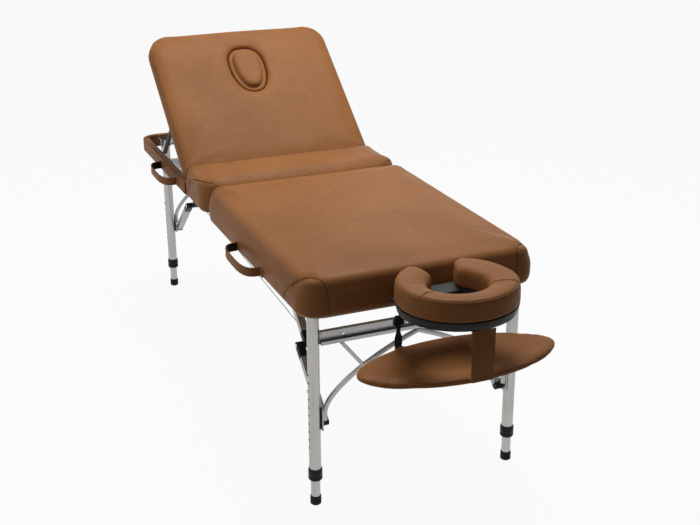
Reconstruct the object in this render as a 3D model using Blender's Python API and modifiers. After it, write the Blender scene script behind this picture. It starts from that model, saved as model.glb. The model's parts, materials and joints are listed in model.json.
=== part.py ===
import math

import bmesh
import bpy
from mathutils import Matrix, Vector

for old in list(bpy.data.objects):
    bpy.data.objects.remove(old)

# Overall sizes, metres
TABLE_WIDTH = 0.710
HALF_LENGTH = 0.925
SEAM_GAP = 0.003
CORNER_RADIUS = 0.065
PAD_TOP = 0.703
PAD_CROWN = 0.007
PAD_ROLL = 0.020
CLEARANCE = 0.0003

# Wooden frame
FRAME_BOTTOM = 0.592
RAIL_HEIGHT = 0.045
RAIL_THICKNESS = 0.018
INNER_CORNER = 0.015
COVER_THICKNESS = 0.006
STRIP_THICKNESS = 0.003
DECK_THICKNESS = 0.009
FOLD_AXIS_Z = 0.588
HINGE_HALF_WIDTH = TABLE_WIDTH / 2 - 0.055
HINGE_SEGMENT = HINGE_HALF_WIDTH / 4
LEAF_THICKNESS = 0.0018
KNUCKLE_RADIUS = 0.0035
HINGE_PIN_RADIUS = 0.0015

# Legs
LEG_PIVOT_Y = HALF_LENGTH - 0.053
LEG_PIVOT_Z = 0.610
FRONT_LEG_X = TABLE_WIDTH / 2 - 0.047
BACK_LEG_X = TABLE_WIDTH / 2 - 0.088
LEG_RADIUS = 0.017
LEG_BORE = 0.0152
LEG_BOTTOM = 0.0885
LEG_TOP_OVER_PIVOT = 0.015
INNER_RADIUS = 0.0135
INNER_BORE = 0.0113
INNER_TOP = 0.450
INNER_BOTTOM = 0.004
FOOT_RADIUS = 0.0158
FOOT_HEIGHT = 0.028
COLLAR_RADIUS = 0.0195
COLLAR_BOTTOM = 0.082
COLLAR_TOP = 0.116
HOLE_RADIUS = 0.0044
HOLE_BOTTOM = 0.185
HOLE_PITCH = 0.025
HOLE_COUNT = 10
BUTTON_RADIUS = 0.0035
BUTTON_HOLE = 7
BUTTON_REACH = 0.0205
PIN_RADIUS = 0.004
PIN_CLEARANCE = 0.0003
CHEEK_THICKNESS = 0.003

# Cross rail and arch braces of a leg pair, distances from the pivot
CROSS_RAIL_TOP = 0.538
CROSS_RAIL_HEIGHT = 0.040
CROSS_RAIL_DEPTH = 0.015
CROSS_RAIL_SIDE = 0.002
CROSS_RAIL_WALL = 0.003
ARCH_RADIUS = 0.0075
ARCH_SIDE = 0.0095
ARCH_FOOT_Z = 0.292
STRUT_RADIUS = 0.0055
STRUT_INSET = 0.076
BRACKET_THICKNESS = 0.004

# Folding braces
BRACE_LEG_DISTANCE = 0.360
BRACE_FRAME_DISTANCE = 0.460
BRACE_SIDE = 0.0105
BRACE_WIDTH = 0.020
BRACE_DEPTH = 0.022
LOWER_LANE = 0.033
UPPER_LANE = 0.059
STUD_LENGTH = 0.005
STUD_RADIUS = 0.005
CABLE_RADIUS = 0.0015

# Lift-up backrest
BACK_AXIS_Y = 0.280
BACK_HALF_THICKNESS = 0.031
BACK_AXIS_Z = FRAME_BOTTOM + RAIL_HEIGHT + 0.001 + BACK_HALF_THICKNESS
BACK_LENGTH = 0.605
BACK_WIDTH = TABLE_WIDTH - 0.010
BACK_TILT = math.radians(38.0)
BACK_ROLL = 0.018
BACK_CORNER = 0.085
SEAT_GAP = 0.0025
SEAT_CORNER = 0.022
BOARD_THICKNESS = 0.009
BOARD_START = 0.018
BOARD_MARGIN = 0.010
SUBFRAME_DROP = 0.0022
HINGE_BAR_BOTTOM = 0.6275
FACE_HOLE_Y = 0.400
FACE_HOLE_HALF_WIDTH = 0.080
FACE_HOLE_HALF_LENGTH = 0.098
FACE_HOLE_LEDGE = 0.012
PLUG_GAP = 0.0015
BACK_HINGE_X = TABLE_WIDTH / 2 - 0.115
LUG_THICKNESS = 0.006
EAR_GAP = 0.0005
PROP_LENGTH = 0.275
PROP_DROP = 0.0415
PROP_X = TABLE_WIDTH / 2 - 0.049
PROP_THICKNESS = 0.012
PROP_WIDTH = 0.014
PROP_FOOT_RADIUS = 0.005
TRACK_SLOPE = math.radians(7.15)
RACK_THICKNESS = 0.0144
RACK_START = 0.270
RACK_END = 0.530
RACK_NOTCH_PITCH = 0.020
RACK_NOTCH_DEPTH = 0.003

# Handles
HANDLE_Y = 0.470
HANDLE_HALF_SPAN = 0.112
HANDLE_REACH = 0.052
HANDLE_THICKNESS = 0.005
HANDLE_BOTTOM = 0.596
HANDLE_TOP = 0.623

# Face cradle and arm sling
ROD_X = 0.090
ROD_Z = 0.615
ROD_RADIUS = 0.006
ROD_INNER_END = HALF_LENGTH - 0.095
CARRIER_Y = HALF_LENGTH + 0.060
CARRIER_DEPTH = 0.027
CARRIER_HALF_WIDTH = 0.100
CARRIER_BOTTOM = 0.603
CARRIER_TOP = 0.627
CRADLE_AXIS_Y = HALF_LENGTH + 0.075
CRADLE_AXIS_Z = 0.634
CRADLE_EAR_X = 0.101
PLATFORM_BOTTOM = 0.646
PLATFORM_TOP = 0.668
PLATFORM_BAR = 0.112
CRADLE_CUSHION_TOP = PLATFORM_TOP + 0.067
CRADLE_FRONT = CRADLE_AXIS_Y + 0.257
CRADLE_HALF_WIDTH = 0.165
CRADLE_ARM = 0.086
CRADLE_BACK = CRADLE_AXIS_Y - 0.050
CRADLE_GAP_SHARE = 0.085
LEVER_X = 0.1148
LEVER_LENGTH = 0.045
STRAP_DROP = 0.118
STRAP_THICKNESS = 0.002
REAR_STRAP_X = 0.116
REAR_STRAP_WIDTH = 0.022
FRONT_STRAP_WIDTH = 0.065
FRONT_STRAP_Y = CRADLE_FRONT - 0.009
SLING_HALF_LENGTH = 0.290
SLING_HALF_WIDTH = 0.1245
SLING_Y = CRADLE_AXIS_Y + 0.120
SLING_THICKNESS = 0.026

# Derived values
HALF_WIDTH = TABLE_WIDTH / 2
RAIL_TOP = FRAME_BOTTOM + RAIL_HEIGHT
DECK_BOTTOM = RAIL_TOP + CLEARANCE
DECK_TOP = DECK_BOTTOM + DECK_THICKNESS
RAIL_OUTER = HALF_WIDTH - COVER_THICKNESS - CLEARANCE
RAIL_INNER = RAIL_OUTER - RAIL_THICKNESS
END_OUTER = HALF_LENGTH - COVER_THICKNESS - CLEARANCE
END_INNER = END_OUTER - RAIL_THICKNESS
SEAM_EDGE = SEAM_GAP / 2
SEAT_END = BACK_AXIS_Y - BACK_HALF_THICKNESS - SEAT_GAP
CENTRE_X = HANDLE_REACH / 2
CENTRE_Y = (CRADLE_FRONT - HALF_LENGTH) / 2
BRACE_ANCHOR_Z = LEG_PIVOT_Z + BRACE_SIDE
BRACE_FOOT_Z = LEG_PIVOT_Z - BRACE_LEG_DISTANCE
BRACE_RUN = BRACE_FRAME_DISTANCE - BRACE_SIDE
BRACE_RISE = BRACE_LEG_DISTANCE + BRACE_SIDE
BRACE_SPAN = math.hypot(BRACE_RUN, BRACE_RISE)
BRACE_LOWER = (BRACE_SPAN - BRACE_FRAME_DISTANCE + BRACE_LEG_DISTANCE) / 2
KNEE_Y = LEG_PIVOT_Y - BRACE_SIDE - BRACE_LOWER * BRACE_RUN / BRACE_SPAN
KNEE_Z = BRACE_FOOT_Z + BRACE_LOWER * BRACE_RISE / BRACE_SPAN
PROP_PIVOT_Y = math.sqrt(PROP_LENGTH ** 2 - PROP_DROP ** 2)
PROP_LEAN = math.atan2(PROP_DROP, PROP_PIVOT_Y)
PROP_ANGLE = BACK_TILT - PROP_LEAN + TRACK_SLOPE
SLING_PIVOT_Z = CRADLE_AXIS_Z - STRAP_DROP

parts = bpy.data.collections.new("massage_table")
bpy.context.scene.collection.children.link(parts)
cutters = bpy.data.collections.new("cutters")
bpy.context.scene.collection.children.link(cutters)


def material(name, colour, roughness, metallic=0.0):
    made = bpy.data.materials.new(name)
    made.use_nodes = True
    shader = made.node_tree.nodes["Principled BSDF"]
    shader.inputs["Base Color"].default_value = (*colour, 1.0)
    shader.inputs["Roughness"].default_value = roughness
    shader.inputs["Metallic"].default_value = metallic
    return made


LEATHER = ((0.24, 0.125, 0.062), 0.5)
WOOD = ((0.42, 0.27, 0.15), 0.6)
ALUMINIUM = ((0.72, 0.72, 0.71), 0.35, 1.0)
STEEL = ((0.45, 0.45, 0.46), 0.4, 1.0)
BLACK_STEEL = ((0.03, 0.03, 0.03), 0.45, 0.6)
BLACK_PLASTIC = ((0.025, 0.025, 0.026), 0.5)
WEBBING = ((0.03, 0.03, 0.03), 0.8)
RUBBER = ((0.03, 0.03, 0.03), 0.85)

# Bodies: one empty per moving body, on its joint axis


def empty(name, location, parent=None, tilt=0.0):
    holder = bpy.data.objects.new(name, None)
    parts.objects.link(holder)
    holder.parent = parent
    holder.location = location
    holder.rotation_euler = (tilt, 0.0, 0.0)
    return holder


table = empty("table_origin", (CENTRE_X, CENTRE_Y, 0.0))


def mesh_object(name, bm, collection):
    mesh = bpy.data.meshes.new(name)
    bmesh.ops.recalc_face_normals(bm, faces=bm.faces)
    bm.to_mesh(mesh)
    bm.free()
    made = bpy.data.objects.new(name, mesh)
    collection.objects.link(made)
    return made


def shaped(target, bm, operation, frame):
    tool = mesh_object(target.name + "_tool", bm, cutters)
    tool.parent = frame
    tool.hide_render = True
    tool.display_type = "WIRE"
    step = target.modifiers.new(operation.lower(), "BOOLEAN")
    step.operation = operation
    step.solver = "MANIFOLD"
    step.object = tool


def node(name, solids, look, body, local=False, cuts=()):
    # Solids are joined into one piece; coordinates are the table's, or the body's own when local
    made = mesh_object(name, solids[0], parts)
    made.data.materials.append(material(name, *look))
    made.parent = body
    frame = body if local else table
    if not local and body is not table:
        made.matrix_parent_inverse = Matrix.Translation(-body.location)
    for extra in solids[1:]:
        shaped(made, extra, "UNION", frame)
    for bite in cuts:
        shaped(made, bite, "DIFFERENCE", frame)
    return made


def turned(name, profile, place, look, body, cuts=()):
    # Profile of radius and height pairs spun about the vertical; one that leaves the axis is closed
    bm = bmesh.new()
    points = [bm.verts.new((radius, 0.0, z)) for radius, z in profile]
    pairs = list(zip(points, points[1:]))
    if profile[0][0] > 0.0:
        pairs.append((points[-1], points[0]))
    for first, second in pairs:
        bm.edges.new((first, second))
    made = node(name, [bm], look, body)
    made.location = place
    spin = made.modifiers.new("spin", "SCREW")
    spin.angle = math.tau
    spin.steps = 20
    spin.render_steps = 20
    spin.use_merge_vertices = True
    spin.merge_threshold = 0.00001
    for bite in cuts:
        shaped(made, bite, "DIFFERENCE", table)
    return made


# Closed solids


def box(low, high):
    bm = bmesh.new()
    size = Vector(high) - Vector(low)
    middle = (Vector(high) + Vector(low)) / 2
    place = Matrix.Translation(middle) @ Matrix.Diagonal((*size, 1.0))
    bmesh.ops.create_cube(bm, size=1.0, matrix=place)
    return bm


def rod(start, end, radius, segments=12):
    bm = bmesh.new()
    run = Vector(end) - Vector(start)
    turn = run.to_track_quat("Z", "Y").to_matrix().to_4x4()
    place = Matrix.Translation((Vector(start) + Vector(end)) / 2) @ turn
    bmesh.ops.create_cone(
        bm, cap_ends=True, segments=segments, radius1=radius, radius2=radius,
        depth=run.length, matrix=place,
    )
    return bm


def cross_pin(centre, reach, y, z, radius=PIN_RADIUS):
    return rod((centre - reach, y, z), (centre + reach, y, z), radius)


def from_curve(curve, place):
    holder = bpy.data.objects.new("curve_holder", curve)
    bpy.context.scene.collection.objects.link(holder)
    graph = bpy.context.evaluated_depsgraph_get()
    mesh = bpy.data.meshes.new_from_object(holder.evaluated_get(graph))
    bpy.data.objects.remove(holder)
    mesh.transform(place)
    bm = bmesh.new()
    bm.from_mesh(mesh)
    bmesh.ops.remove_doubles(bm, verts=bm.verts, dist=0.00002)
    bpy.data.meshes.remove(mesh)
    bpy.data.curves.remove(curve)
    return bm


ALONG_X = Matrix(((0, 0, 1, 0), (1, 0, 0, 0), (0, 1, 0, 0), (0, 0, 0, 1)))
ALONG_Y = Matrix(((1, 0, 0, 0), (0, 0, 1, 0), (0, 1, 0, 0), (0, 0, 0, 1)))
ALONG_Z = Matrix.Identity(4)


def plate(outlines, axis, low, high):
    # Flat outlines, the first solid and the others holes, extruded along one axis
    curve = bpy.data.curves.new("plate", "CURVE")
    curve.dimensions = "2D"
    curve.fill_mode = "BOTH"
    curve.extrude = abs(high - low) / 2
    for outline in outlines:
        line = curve.splines.new("POLY")
        line.points.add(len(outline) - 1)
        for point, (first, second) in zip(line.points, outline):
            point.co = (first, second, 0.0, 1.0)
        line.use_cyclic_u = True
    return from_curve(curve, axis @ Matrix.Translation((0.0, 0.0, (low + high) / 2)))


def tube(points, radius):
    curve = bpy.data.curves.new("tube", "CURVE")
    curve.dimensions = "3D"
    curve.bevel_depth = radius
    curve.bevel_resolution = 2
    curve.use_fill_caps = True
    line = curve.splines.new("POLY")
    line.points.add(len(points) - 1)
    for point, place in zip(line.points, points):
        point.co = (*place, 1.0)
    return from_curve(curve, Matrix.Identity(4))


def loft(rings):
    # Rings of equal count joined one after the other, both ends capped
    bm = bmesh.new()
    loops = []
    for ring in rings:
        loops.append([bm.verts.new(place) for place in ring])
    count = len(loops[0])
    for lower, upper in zip(loops, loops[1:]):
        for i in range(count):
            j = (i + 1) % count
            bm.faces.new((lower[i], lower[j], upper[j], upper[i]))
    bm.faces.new(loops[0])
    bm.faces.new(loops[-1])
    return bm


# Outlines


def arc(centre, radius, start, end, steps):
    points = []
    for step in range(steps + 1):
        swing = math.radians(start + (end - start) * step / steps)
        points.append((centre[0] + radius * math.cos(swing), centre[1] + radius * math.sin(swing)))
    return points


def circle(centre, radius, segments=12):
    return arc(centre, radius, 0, 360, segments)[:-1]


def stadium(start, end, radius, end_radius=None):
    # Bar with round ends, tapered if the far one is given
    angle = math.degrees(math.atan2(end[1] - start[1], end[0] - start[0]))
    far = arc(end, end_radius or radius, angle - 90, angle + 90, 6)
    near = arc(start, radius, angle + 90, angle + 270, 6)
    return far + near


def rounded(x0, x1, y0, y1, near_radius, far_radius, corner_steps=5, side_steps=4, bow=0.0):
    # Rounded rectangle whose sides may be drawn in by bow
    corners = (
        ((x1 - near_radius, y0 + near_radius), near_radius, -90),
        ((x1 - far_radius, y1 - far_radius), far_radius, 0),
        ((x0 + far_radius, y1 - far_radius), far_radius, 90),
        ((x0 + near_radius, y0 + near_radius), near_radius, 180),
    )
    turns = [arc(centre, radius, start, start + 90, corner_steps) for centre, radius, start in corners]
    points = []
    for index, turn in enumerate(turns):
        points += turn
        last = turn[-1]
        target = turns[(index + 1) % 4][0]
        inward = math.radians(corners[index][2] + 270)
        for step in range(1, side_steps):
            share = step / side_steps
            sag = bow * 4 * share * (1 - share)
            points.append((
                last[0] + (target[0] - last[0]) * share + sag * math.cos(inward),
                last[1] + (target[1] - last[1]) * share + sag * math.sin(inward),
            ))
    return points


def comb(centres, inner, outer, low, roof, top, reach):
    # A flat bar with a pair of cheeks hanging at each centre
    points = [(-reach, top), (-reach, roof)]
    for centre in centres:
        points += [
            (centre - outer, roof), (centre - outer, low), (centre - inner, low), (centre - inner, roof),
            (centre + inner, roof), (centre + inner, low), (centre + outer, low), (centre + outer, roof),
        ]
    return points + [(reach, roof), (reach, top)]


def level(outline, z):
    return [(x, y, z) for x, y in outline]


# Padded slab with a pocket for the board and rails below it


def padded_slab(bounds, bottom, ceiling, near_radius, far_radius):
    x0, x1, y0, y1 = bounds

    def ring(inset, z, bow=0.0):
        near = max(near_radius - inset, 0.006)
        far = max(far_radius - inset, 0.006)
        outline = rounded(x0 + inset, x1 - inset, y0 + inset, y1 - inset, near, far, bow=bow)
        return level(outline, z)

    waist = (bottom + PAD_TOP) / 2
    depth = min(x1 - x0, y1 - y0) / 2
    rings = [
        ring(depth * 0.8, ceiling),
        ring(COVER_THICKNESS, ceiling),
        ring(COVER_THICKNESS, bottom),
        ring(0.0, bottom),
        ring(0.001, waist, 0.002),
        ring(0.0, PAD_TOP - PAD_ROLL, 0.002),
    ]
    for angle in (30, 55, 75, 90):
        swing = math.radians(angle)
        inset = PAD_ROLL * (1 - math.cos(swing))
        rings.append(ring(inset, PAD_TOP - PAD_ROLL * (1 - math.sin(swing)), 0.002))
    for share in (0.3, 0.55, 0.8):
        inset = PAD_ROLL + (depth - PAD_ROLL) * share
        rings.append(ring(inset, PAD_TOP + PAD_CROWN * math.sin(math.pi / 2 * share)))
    return loft(rings)


# Pieces alike on both halves; side is -1 for the cradle half and +1 for the backrest half


def frame_ring(side, inset, width, inner_radius):
    near, far = sorted((side * SEAM_EDGE, side * HALF_LENGTH))
    outer = rounded(
        -HALF_WIDTH + inset, HALF_WIDTH - inset, near + inset, far - inset,
        CORNER_RADIUS - inset, CORNER_RADIUS - inset, side_steps=1)
    deep = inset + width
    inner = rounded(
        -HALF_WIDTH + deep, HALF_WIDTH - deep, near + deep, far - deep, inner_radius, inner_radius,
        side_steps=1)
    return plate((outer, inner), ALONG_Z, FRAME_BOTTOM, RAIL_TOP)


def handle(name, side, body):
    outer = []
    inner = []
    root = -HALF_WIDTH - CLEARANCE
    reach = HANDLE_REACH - CLEARANCE
    for step in range(25):
        swing = math.pi * step / 24
        bulge = math.sin(swing) ** 0.6
        lean = math.copysign(abs(math.cos(swing)) ** 0.6, math.cos(swing))
        outer.append((root - reach * bulge, side * HANDLE_Y + HANDLE_HALF_SPAN * lean))
        inner.append((
            root - (reach - HANDLE_THICKNESS) * bulge,
            side * HANDLE_Y + (HANDLE_HALF_SPAN - HANDLE_THICKNESS) * lean))
    node(name, [plate((outer + inner[::-1],), ALONG_Z, HANDLE_BOTTOM, HANDLE_TOP)], LEATHER, body)


def hinge_leaf(name, side, first, body):
    top = FOLD_AXIS_Z + KNUCKLE_RADIUS
    low = top - LEAF_THICKNESS
    meet = math.degrees(math.asin((low - FOLD_AXIS_Z) / KNUCKLE_RADIUS))
    leaf = [(0.0, top)] + arc((0.0, FOLD_AXIS_Z), KNUCKLE_RADIUS, 90, -180 - meet, 10)[1:]
    leaf += [(-0.016, low), (-0.016, top)]
    leaf = [(-side * y, z) for y, z in leaf]
    hole = circle((0.0, FOLD_AXIS_Z), HINGE_PIN_RADIUS + PIN_CLEARANCE)
    near, far = sorted((side * 0.010, side * 0.032))
    solids = [box((-HINGE_HALF_WIDTH, near, low - 0.0002), (HINGE_HALF_WIDTH, far, top + 0.0002))]
    for index in range(4):
        start = -HINGE_HALF_WIDTH + (2 * index + first) * HINGE_SEGMENT + CLEARANCE
        solids.append(plate((leaf, hole), ALONG_X, start, start + HINGE_SEGMENT - 2 * CLEARANCE))
    node(name, solids, STEEL, body)


CHEEK_INNER = LEG_RADIUS + EAR_GAP
CHEEK_OUTER = CHEEK_INNER + CHEEK_THICKNESS
ANCHOR_INNER = BRACE_DEPTH / 2 + EAR_GAP
ANCHOR_OUTER = ANCHOR_INNER + CHEEK_THICKNESS
ANCHOR_Y = LEG_PIVOT_Y - BRACE_FRAME_DISTANCE
INSET = COVER_THICKNESS + CLEARANCE


def anchor_pins(side, leg_x):
    lane = leg_x - UPPER_LANE
    return [
        cross_pin(sign * lane, ANCHOR_OUTER - 0.001, side * ANCHOR_Y, BRACE_ANCHOR_Z) for sign in (-1, 1)]


def leg_pins(side, leg_x):
    return [
        cross_pin(sign * leg_x, CHEEK_OUTER - 0.001, side * LEG_PIVOT_Y, LEG_PIVOT_Z) for sign in (-1, 1)]


# Cradle half

rod_bores = [
    [
        rod(
            (sign * ROD_X, -HALF_LENGTH - 0.01, ROD_Z), (sign * ROD_X, -END_INNER + 0.01, ROD_Z),
            ROD_RADIUS + PIN_CLEARANCE, 16)
        for sign in (-1, 1)
    ]
    for _ in range(2)
]
slab = padded_slab(
    (-HALF_WIDTH, HALF_WIDTH, -HALF_LENGTH, -SEAM_EDGE), FRAME_BOTTOM, DECK_TOP + CLEARANCE,
    CORNER_RADIUS, CORNER_RADIUS)
node("front_cushion", [slab], LEATHER, table, cuts=rod_bores[0])
board = rounded(
    -HALF_WIDTH + INSET, HALF_WIDTH - INSET, -HALF_LENGTH + INSET, -SEAM_EDGE - INSET,
    CORNER_RADIUS - INSET, CORNER_RADIUS - INSET, side_steps=1)
node("front_deck", [plate((board,), ALONG_Z, DECK_BOTTOM, DECK_TOP)], WOOD, table)
node(
    "front_frame", [frame_ring(-1, INSET, RAIL_THICKNESS, INNER_CORNER)], WOOD, table, cuts=rod_bores[1])
handle("front_handle", -1, table)
hinge_leaf("front_hinge_leaf", -1, 0, table)
node(
    "hinge_pin", [cross_pin(0.0, HINGE_HALF_WIDTH, 0.0, FOLD_AXIS_Z, HINGE_PIN_RADIUS)], STEEL, table)

yokes = comb(
    (-FRONT_LEG_X, FRONT_LEG_X), CHEEK_INNER, CHEEK_OUTER, LEG_PIVOT_Z - 0.012, RAIL_TOP - STRIP_THICKNESS,
    RAIL_TOP, FRONT_LEG_X + CHEEK_OUTER + 0.0005)
solids = [plate((yokes,), ALONG_Y, -LEG_PIVOT_Y - 0.012, -LEG_PIVOT_Y + 0.012)]
node("front_leg_mount", solids + leg_pins(-1, FRONT_LEG_X), STEEL, table)

lane = FRONT_LEG_X - UPPER_LANE
yokes = comb(
    (-lane, lane), ANCHOR_INNER, ANCHOR_OUTER, BRACE_ANCHOR_Z - 0.011, RAIL_TOP - STRIP_THICKNESS,
    RAIL_TOP, RAIL_INNER - CLEARANCE)
solids = [plate((yokes,), ALONG_Y, -ANCHOR_Y - 0.011, -ANCHOR_Y + 0.011)]
node("front_brace_bar", solids + anchor_pins(-1, FRONT_LEG_X), STEEL, table)

socket_plate = [(-ROD_X - 0.02, 0.598), (ROD_X + 0.02, 0.598), (ROD_X + 0.02, 0.632), (-ROD_X - 0.02, 0.632)]
bores = [circle((sign * ROD_X, ROD_Z), ROD_RADIUS + PIN_CLEARANCE, 16) for sign in (-1, 1)]
solids = [plate((socket_plate, *bores), ALONG_Y, -END_INNER + CLEARANCE, -END_INNER + 0.004)]
for sign, bore in zip((-1, 1), bores):
    sleeve = circle((sign * ROD_X, ROD_Z), ROD_RADIUS + 0.004, 16)
    solids.append(plate((sleeve, bore), ALONG_Y, -END_INNER + 0.003, -END_INNER + 0.028))
node("cradle_socket", solids, BLACK_PLASTIC, table)

# Backrest half

back = empty("back_half_axis", (0.0, 0.0, FOLD_AXIS_Z), table)
slab = padded_slab(
    (-HALF_WIDTH, HALF_WIDTH, SEAM_EDGE, SEAT_END), DECK_BOTTOM, DECK_TOP + CLEARANCE,
    CORNER_RADIUS, SEAT_CORNER)
node("seat_cushion", [slab], LEATHER, back)
board = rounded(
    -HALF_WIDTH + INSET, HALF_WIDTH - INSET, SEAM_EDGE + INSET, SEAT_END - INSET,
    CORNER_RADIUS - INSET, SEAT_CORNER - INSET, side_steps=1)
node("seat_deck", [plate((board,), ALONG_Z, DECK_BOTTOM, DECK_TOP)], WOOD, back)
node("back_frame", [frame_ring(1, INSET, RAIL_THICKNESS, INNER_CORNER)], WOOD, back)
skin = frame_ring(1, 0.0, COVER_THICKNESS, CORNER_RADIUS - COVER_THICKNESS)
node("back_frame_cover", [skin], LEATHER, back)
handle("back_handle", 1, back)
hinge_leaf("back_hinge_leaf", 1, 1, back)

wall = END_INNER - CLEARANCE
yokes = comb(
    (-BACK_LEG_X, BACK_LEG_X), CHEEK_INNER, CHEEK_OUTER, LEG_PIVOT_Y - 0.012, wall - STRIP_THICKNESS,
    wall, BACK_LEG_X + CHEEK_OUTER + 0.0005)
solids = [plate((yokes,), ALONG_Z, LEG_PIVOT_Z - 0.012, LEG_PIVOT_Z + 0.018)]
node("back_leg_mount", solids + leg_pins(1, BACK_LEG_X), STEEL, back)


def on_track(distance, below=0.0):
    return (
        BACK_AXIS_Y + distance * math.cos(TRACK_SLOPE) - below * math.sin(TRACK_SLOPE),
        BACK_AXIS_Z - distance * math.sin(TRACK_SLOPE) - below * math.cos(TRACK_SLOPE),
    )


lane = BACK_LEG_X - UPPER_LANE
bar_top = RAIL_TOP - SUBFRAME_DROP
wall = RAIL_INNER - CLEARANCE
yokes = comb(
    (-lane, lane), ANCHOR_INNER, ANCHOR_OUTER, BRACE_ANCHOR_Z - 0.011, bar_top - STRIP_THICKNESS, bar_top,
    wall)
solids = [plate((yokes,), ALONG_Y, ANCHOR_Y - 0.011, ANCHOR_Y + 0.011)] + anchor_pins(1, BACK_LEG_X)
crest = PROP_FOOT_RADIUS + 0.0004
rack = []
along = RACK_START
while along + RACK_NOTCH_PITCH <= RACK_END:
    rack.append(on_track(along, crest))
    rack.append(on_track(along + 0.008, crest))
    rack.append(on_track(along + 0.011, crest + RACK_NOTCH_DEPTH))
    rack.append(on_track(along + 0.017, crest + RACK_NOTCH_DEPTH))
    along += RACK_NOTCH_PITCH
rack.append(on_track(along, crest))
rack.append((rack[-1][0], FRAME_BOTTOM + 0.0015))
rack.append((rack[0][0], FRAME_BOTTOM + 0.0015))
tie_low = BRACE_ANCHOR_Z - 0.0045
tie_top = rack[0][1] - RACK_NOTCH_DEPTH
for sign in (-1, 1):
    solids.append(plate((rack,), ALONG_X, sign * (wall - RACK_THICKNESS), sign * wall))
    near, far = sorted((sign * (wall - RACK_THICKNESS + 0.002), sign * (wall - 0.0005)))
    solids.append(box((near, ANCHOR_Y - 0.008, tie_low), (far, rack[0][0] + 0.004, tie_top)))
    near, far = sorted((sign * (wall - RACK_THICKNESS + 0.003), sign * (wall - 0.001)))
    solids.append(box(
        (near, ANCHOR_Y - 0.007, tie_low + 0.001), (far, ANCHOR_Y + 0.007, bar_top - 0.0005)))
node("backrest_subframe", solids, STEEL, back)

lug_start = SEAT_END - 0.006
lug = [(lug_start, 0.600), (BACK_AXIS_Y + 0.011, 0.600)]
lug += arc((BACK_AXIS_Y, BACK_AXIS_Z), 0.011, 0, 180, 10)
lug += [(BACK_AXIS_Y - 0.011, 0.631), (lug_start, 0.631)]
hole = circle((BACK_AXIS_Y, BACK_AXIS_Z), PIN_RADIUS + PIN_CLEARANCE)
solids = [box((-wall, SEAT_END - 0.032, HINGE_BAR_BOTTOM), (wall, SEAT_END - 0.004, RAIL_TOP))]
for sign in (-1, 1):
    middle = sign * BACK_HINGE_X
    solids.append(plate((lug, hole), ALONG_X, middle - LUG_THICKNESS / 2, middle + LUG_THICKNESS / 2))
node("backrest_hinge_bar", solids, STEEL, back)

# Backrest, in its own frame: origin on the tilt axis, y along the panel, z out of the cushion

backrest = empty("backrest_axis", (0.0, BACK_AXIS_Y, BACK_AXIS_Z), table, BACK_TILT)


def face_outline(grow):
    # Egg outline, wider toward the head end
    points = []
    for step in range(32):
        swing = math.tau * step / 32
        wide = 1.0 + 0.14 * math.sin(swing)
        across = math.copysign(abs(math.cos(swing)) ** 0.82, math.cos(swing))
        along = math.copysign(abs(math.sin(swing)) ** 0.82, math.sin(swing))
        points.append((
            (FACE_HOLE_HALF_WIDTH * wide + grow) * across,
            FACE_HOLE_Y + (FACE_HOLE_HALF_LENGTH + grow) * along))
    return points


def backrest_ring(nose, edge, z, bow=0.0):
    half = BACK_WIDTH / 2
    far = max(BACK_CORNER - edge, 0.01)
    outline = rounded(
        -half + edge, half - edge, -BACK_HALF_THICKNESS + nose, BACK_LENGTH - edge, 0.030, far, bow=bow)
    return level(outline, z)


board_bottom = -BACK_HALF_THICKNESS
board_top = board_bottom + BOARD_THICKNESS
pocket = BACK_HALF_THICKNESS + BOARD_START - CLEARANCE
rings = [
    backrest_ring(0.20, 0.19, board_top + CLEARANCE),
    backrest_ring(pocket, BOARD_MARGIN, board_top + CLEARANCE),
    backrest_ring(pocket, BOARD_MARGIN, -BACK_HALF_THICKNESS),
    backrest_ring(BACK_HALF_THICKNESS, 0.005, -BACK_HALF_THICKNESS),
]
low = BACK_HALF_THICKNESS - BACK_ROLL
for height in (-0.026, -0.015, 0.0, 0.015, 0.025, 0.0295):
    nose = BACK_HALF_THICKNESS - math.sqrt(BACK_HALF_THICKNESS ** 2 - height ** 2)
    edge = BACK_ROLL - math.sqrt(BACK_ROLL ** 2 - max(height - low, 0.0) ** 2)
    rings.append(backrest_ring(nose, edge, height, 0.002))
rings.append(backrest_ring(BACK_HALF_THICKNESS, BACK_ROLL, BACK_HALF_THICKNESS))
for share, rise in ((0.06, 0.004), (0.13, 0.006), (0.24, 0.006)):
    rings.append(backrest_ring(BACK_HALF_THICKNESS + share, BACK_ROLL + share, BACK_HALF_THICKNESS + rise))
slot = LUG_THICKNESS / 2 + EAR_GAP + CHEEK_THICKNESS + 0.001
bites = [plate((face_outline(0.0),), ALONG_Z, board_top - 0.004, 0.06)]
for sign in (-1, 1):
    lug_x = sign * BACK_HINGE_X
    bites.append(box((lug_x - slot, -0.05, -0.05), (lug_x + slot, 0.0175, 0.0125)))
node("backrest_cushion", [loft(rings)], LEATHER, backrest, local=True, cuts=bites)

half = BACK_WIDTH / 2 - BOARD_MARGIN - CLEARANCE
board = rounded(
    -half, half, BOARD_START, BACK_LENGTH - BOARD_MARGIN - CLEARANCE, 0.030, BACK_CORNER - BOARD_MARGIN,
    side_steps=1)
node(
    "backrest_board", [plate((board, face_outline(-FACE_HOLE_LEDGE)), ALONG_Z, board_bottom, board_top)],
    WOOD, backrest, local=True)

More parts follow.
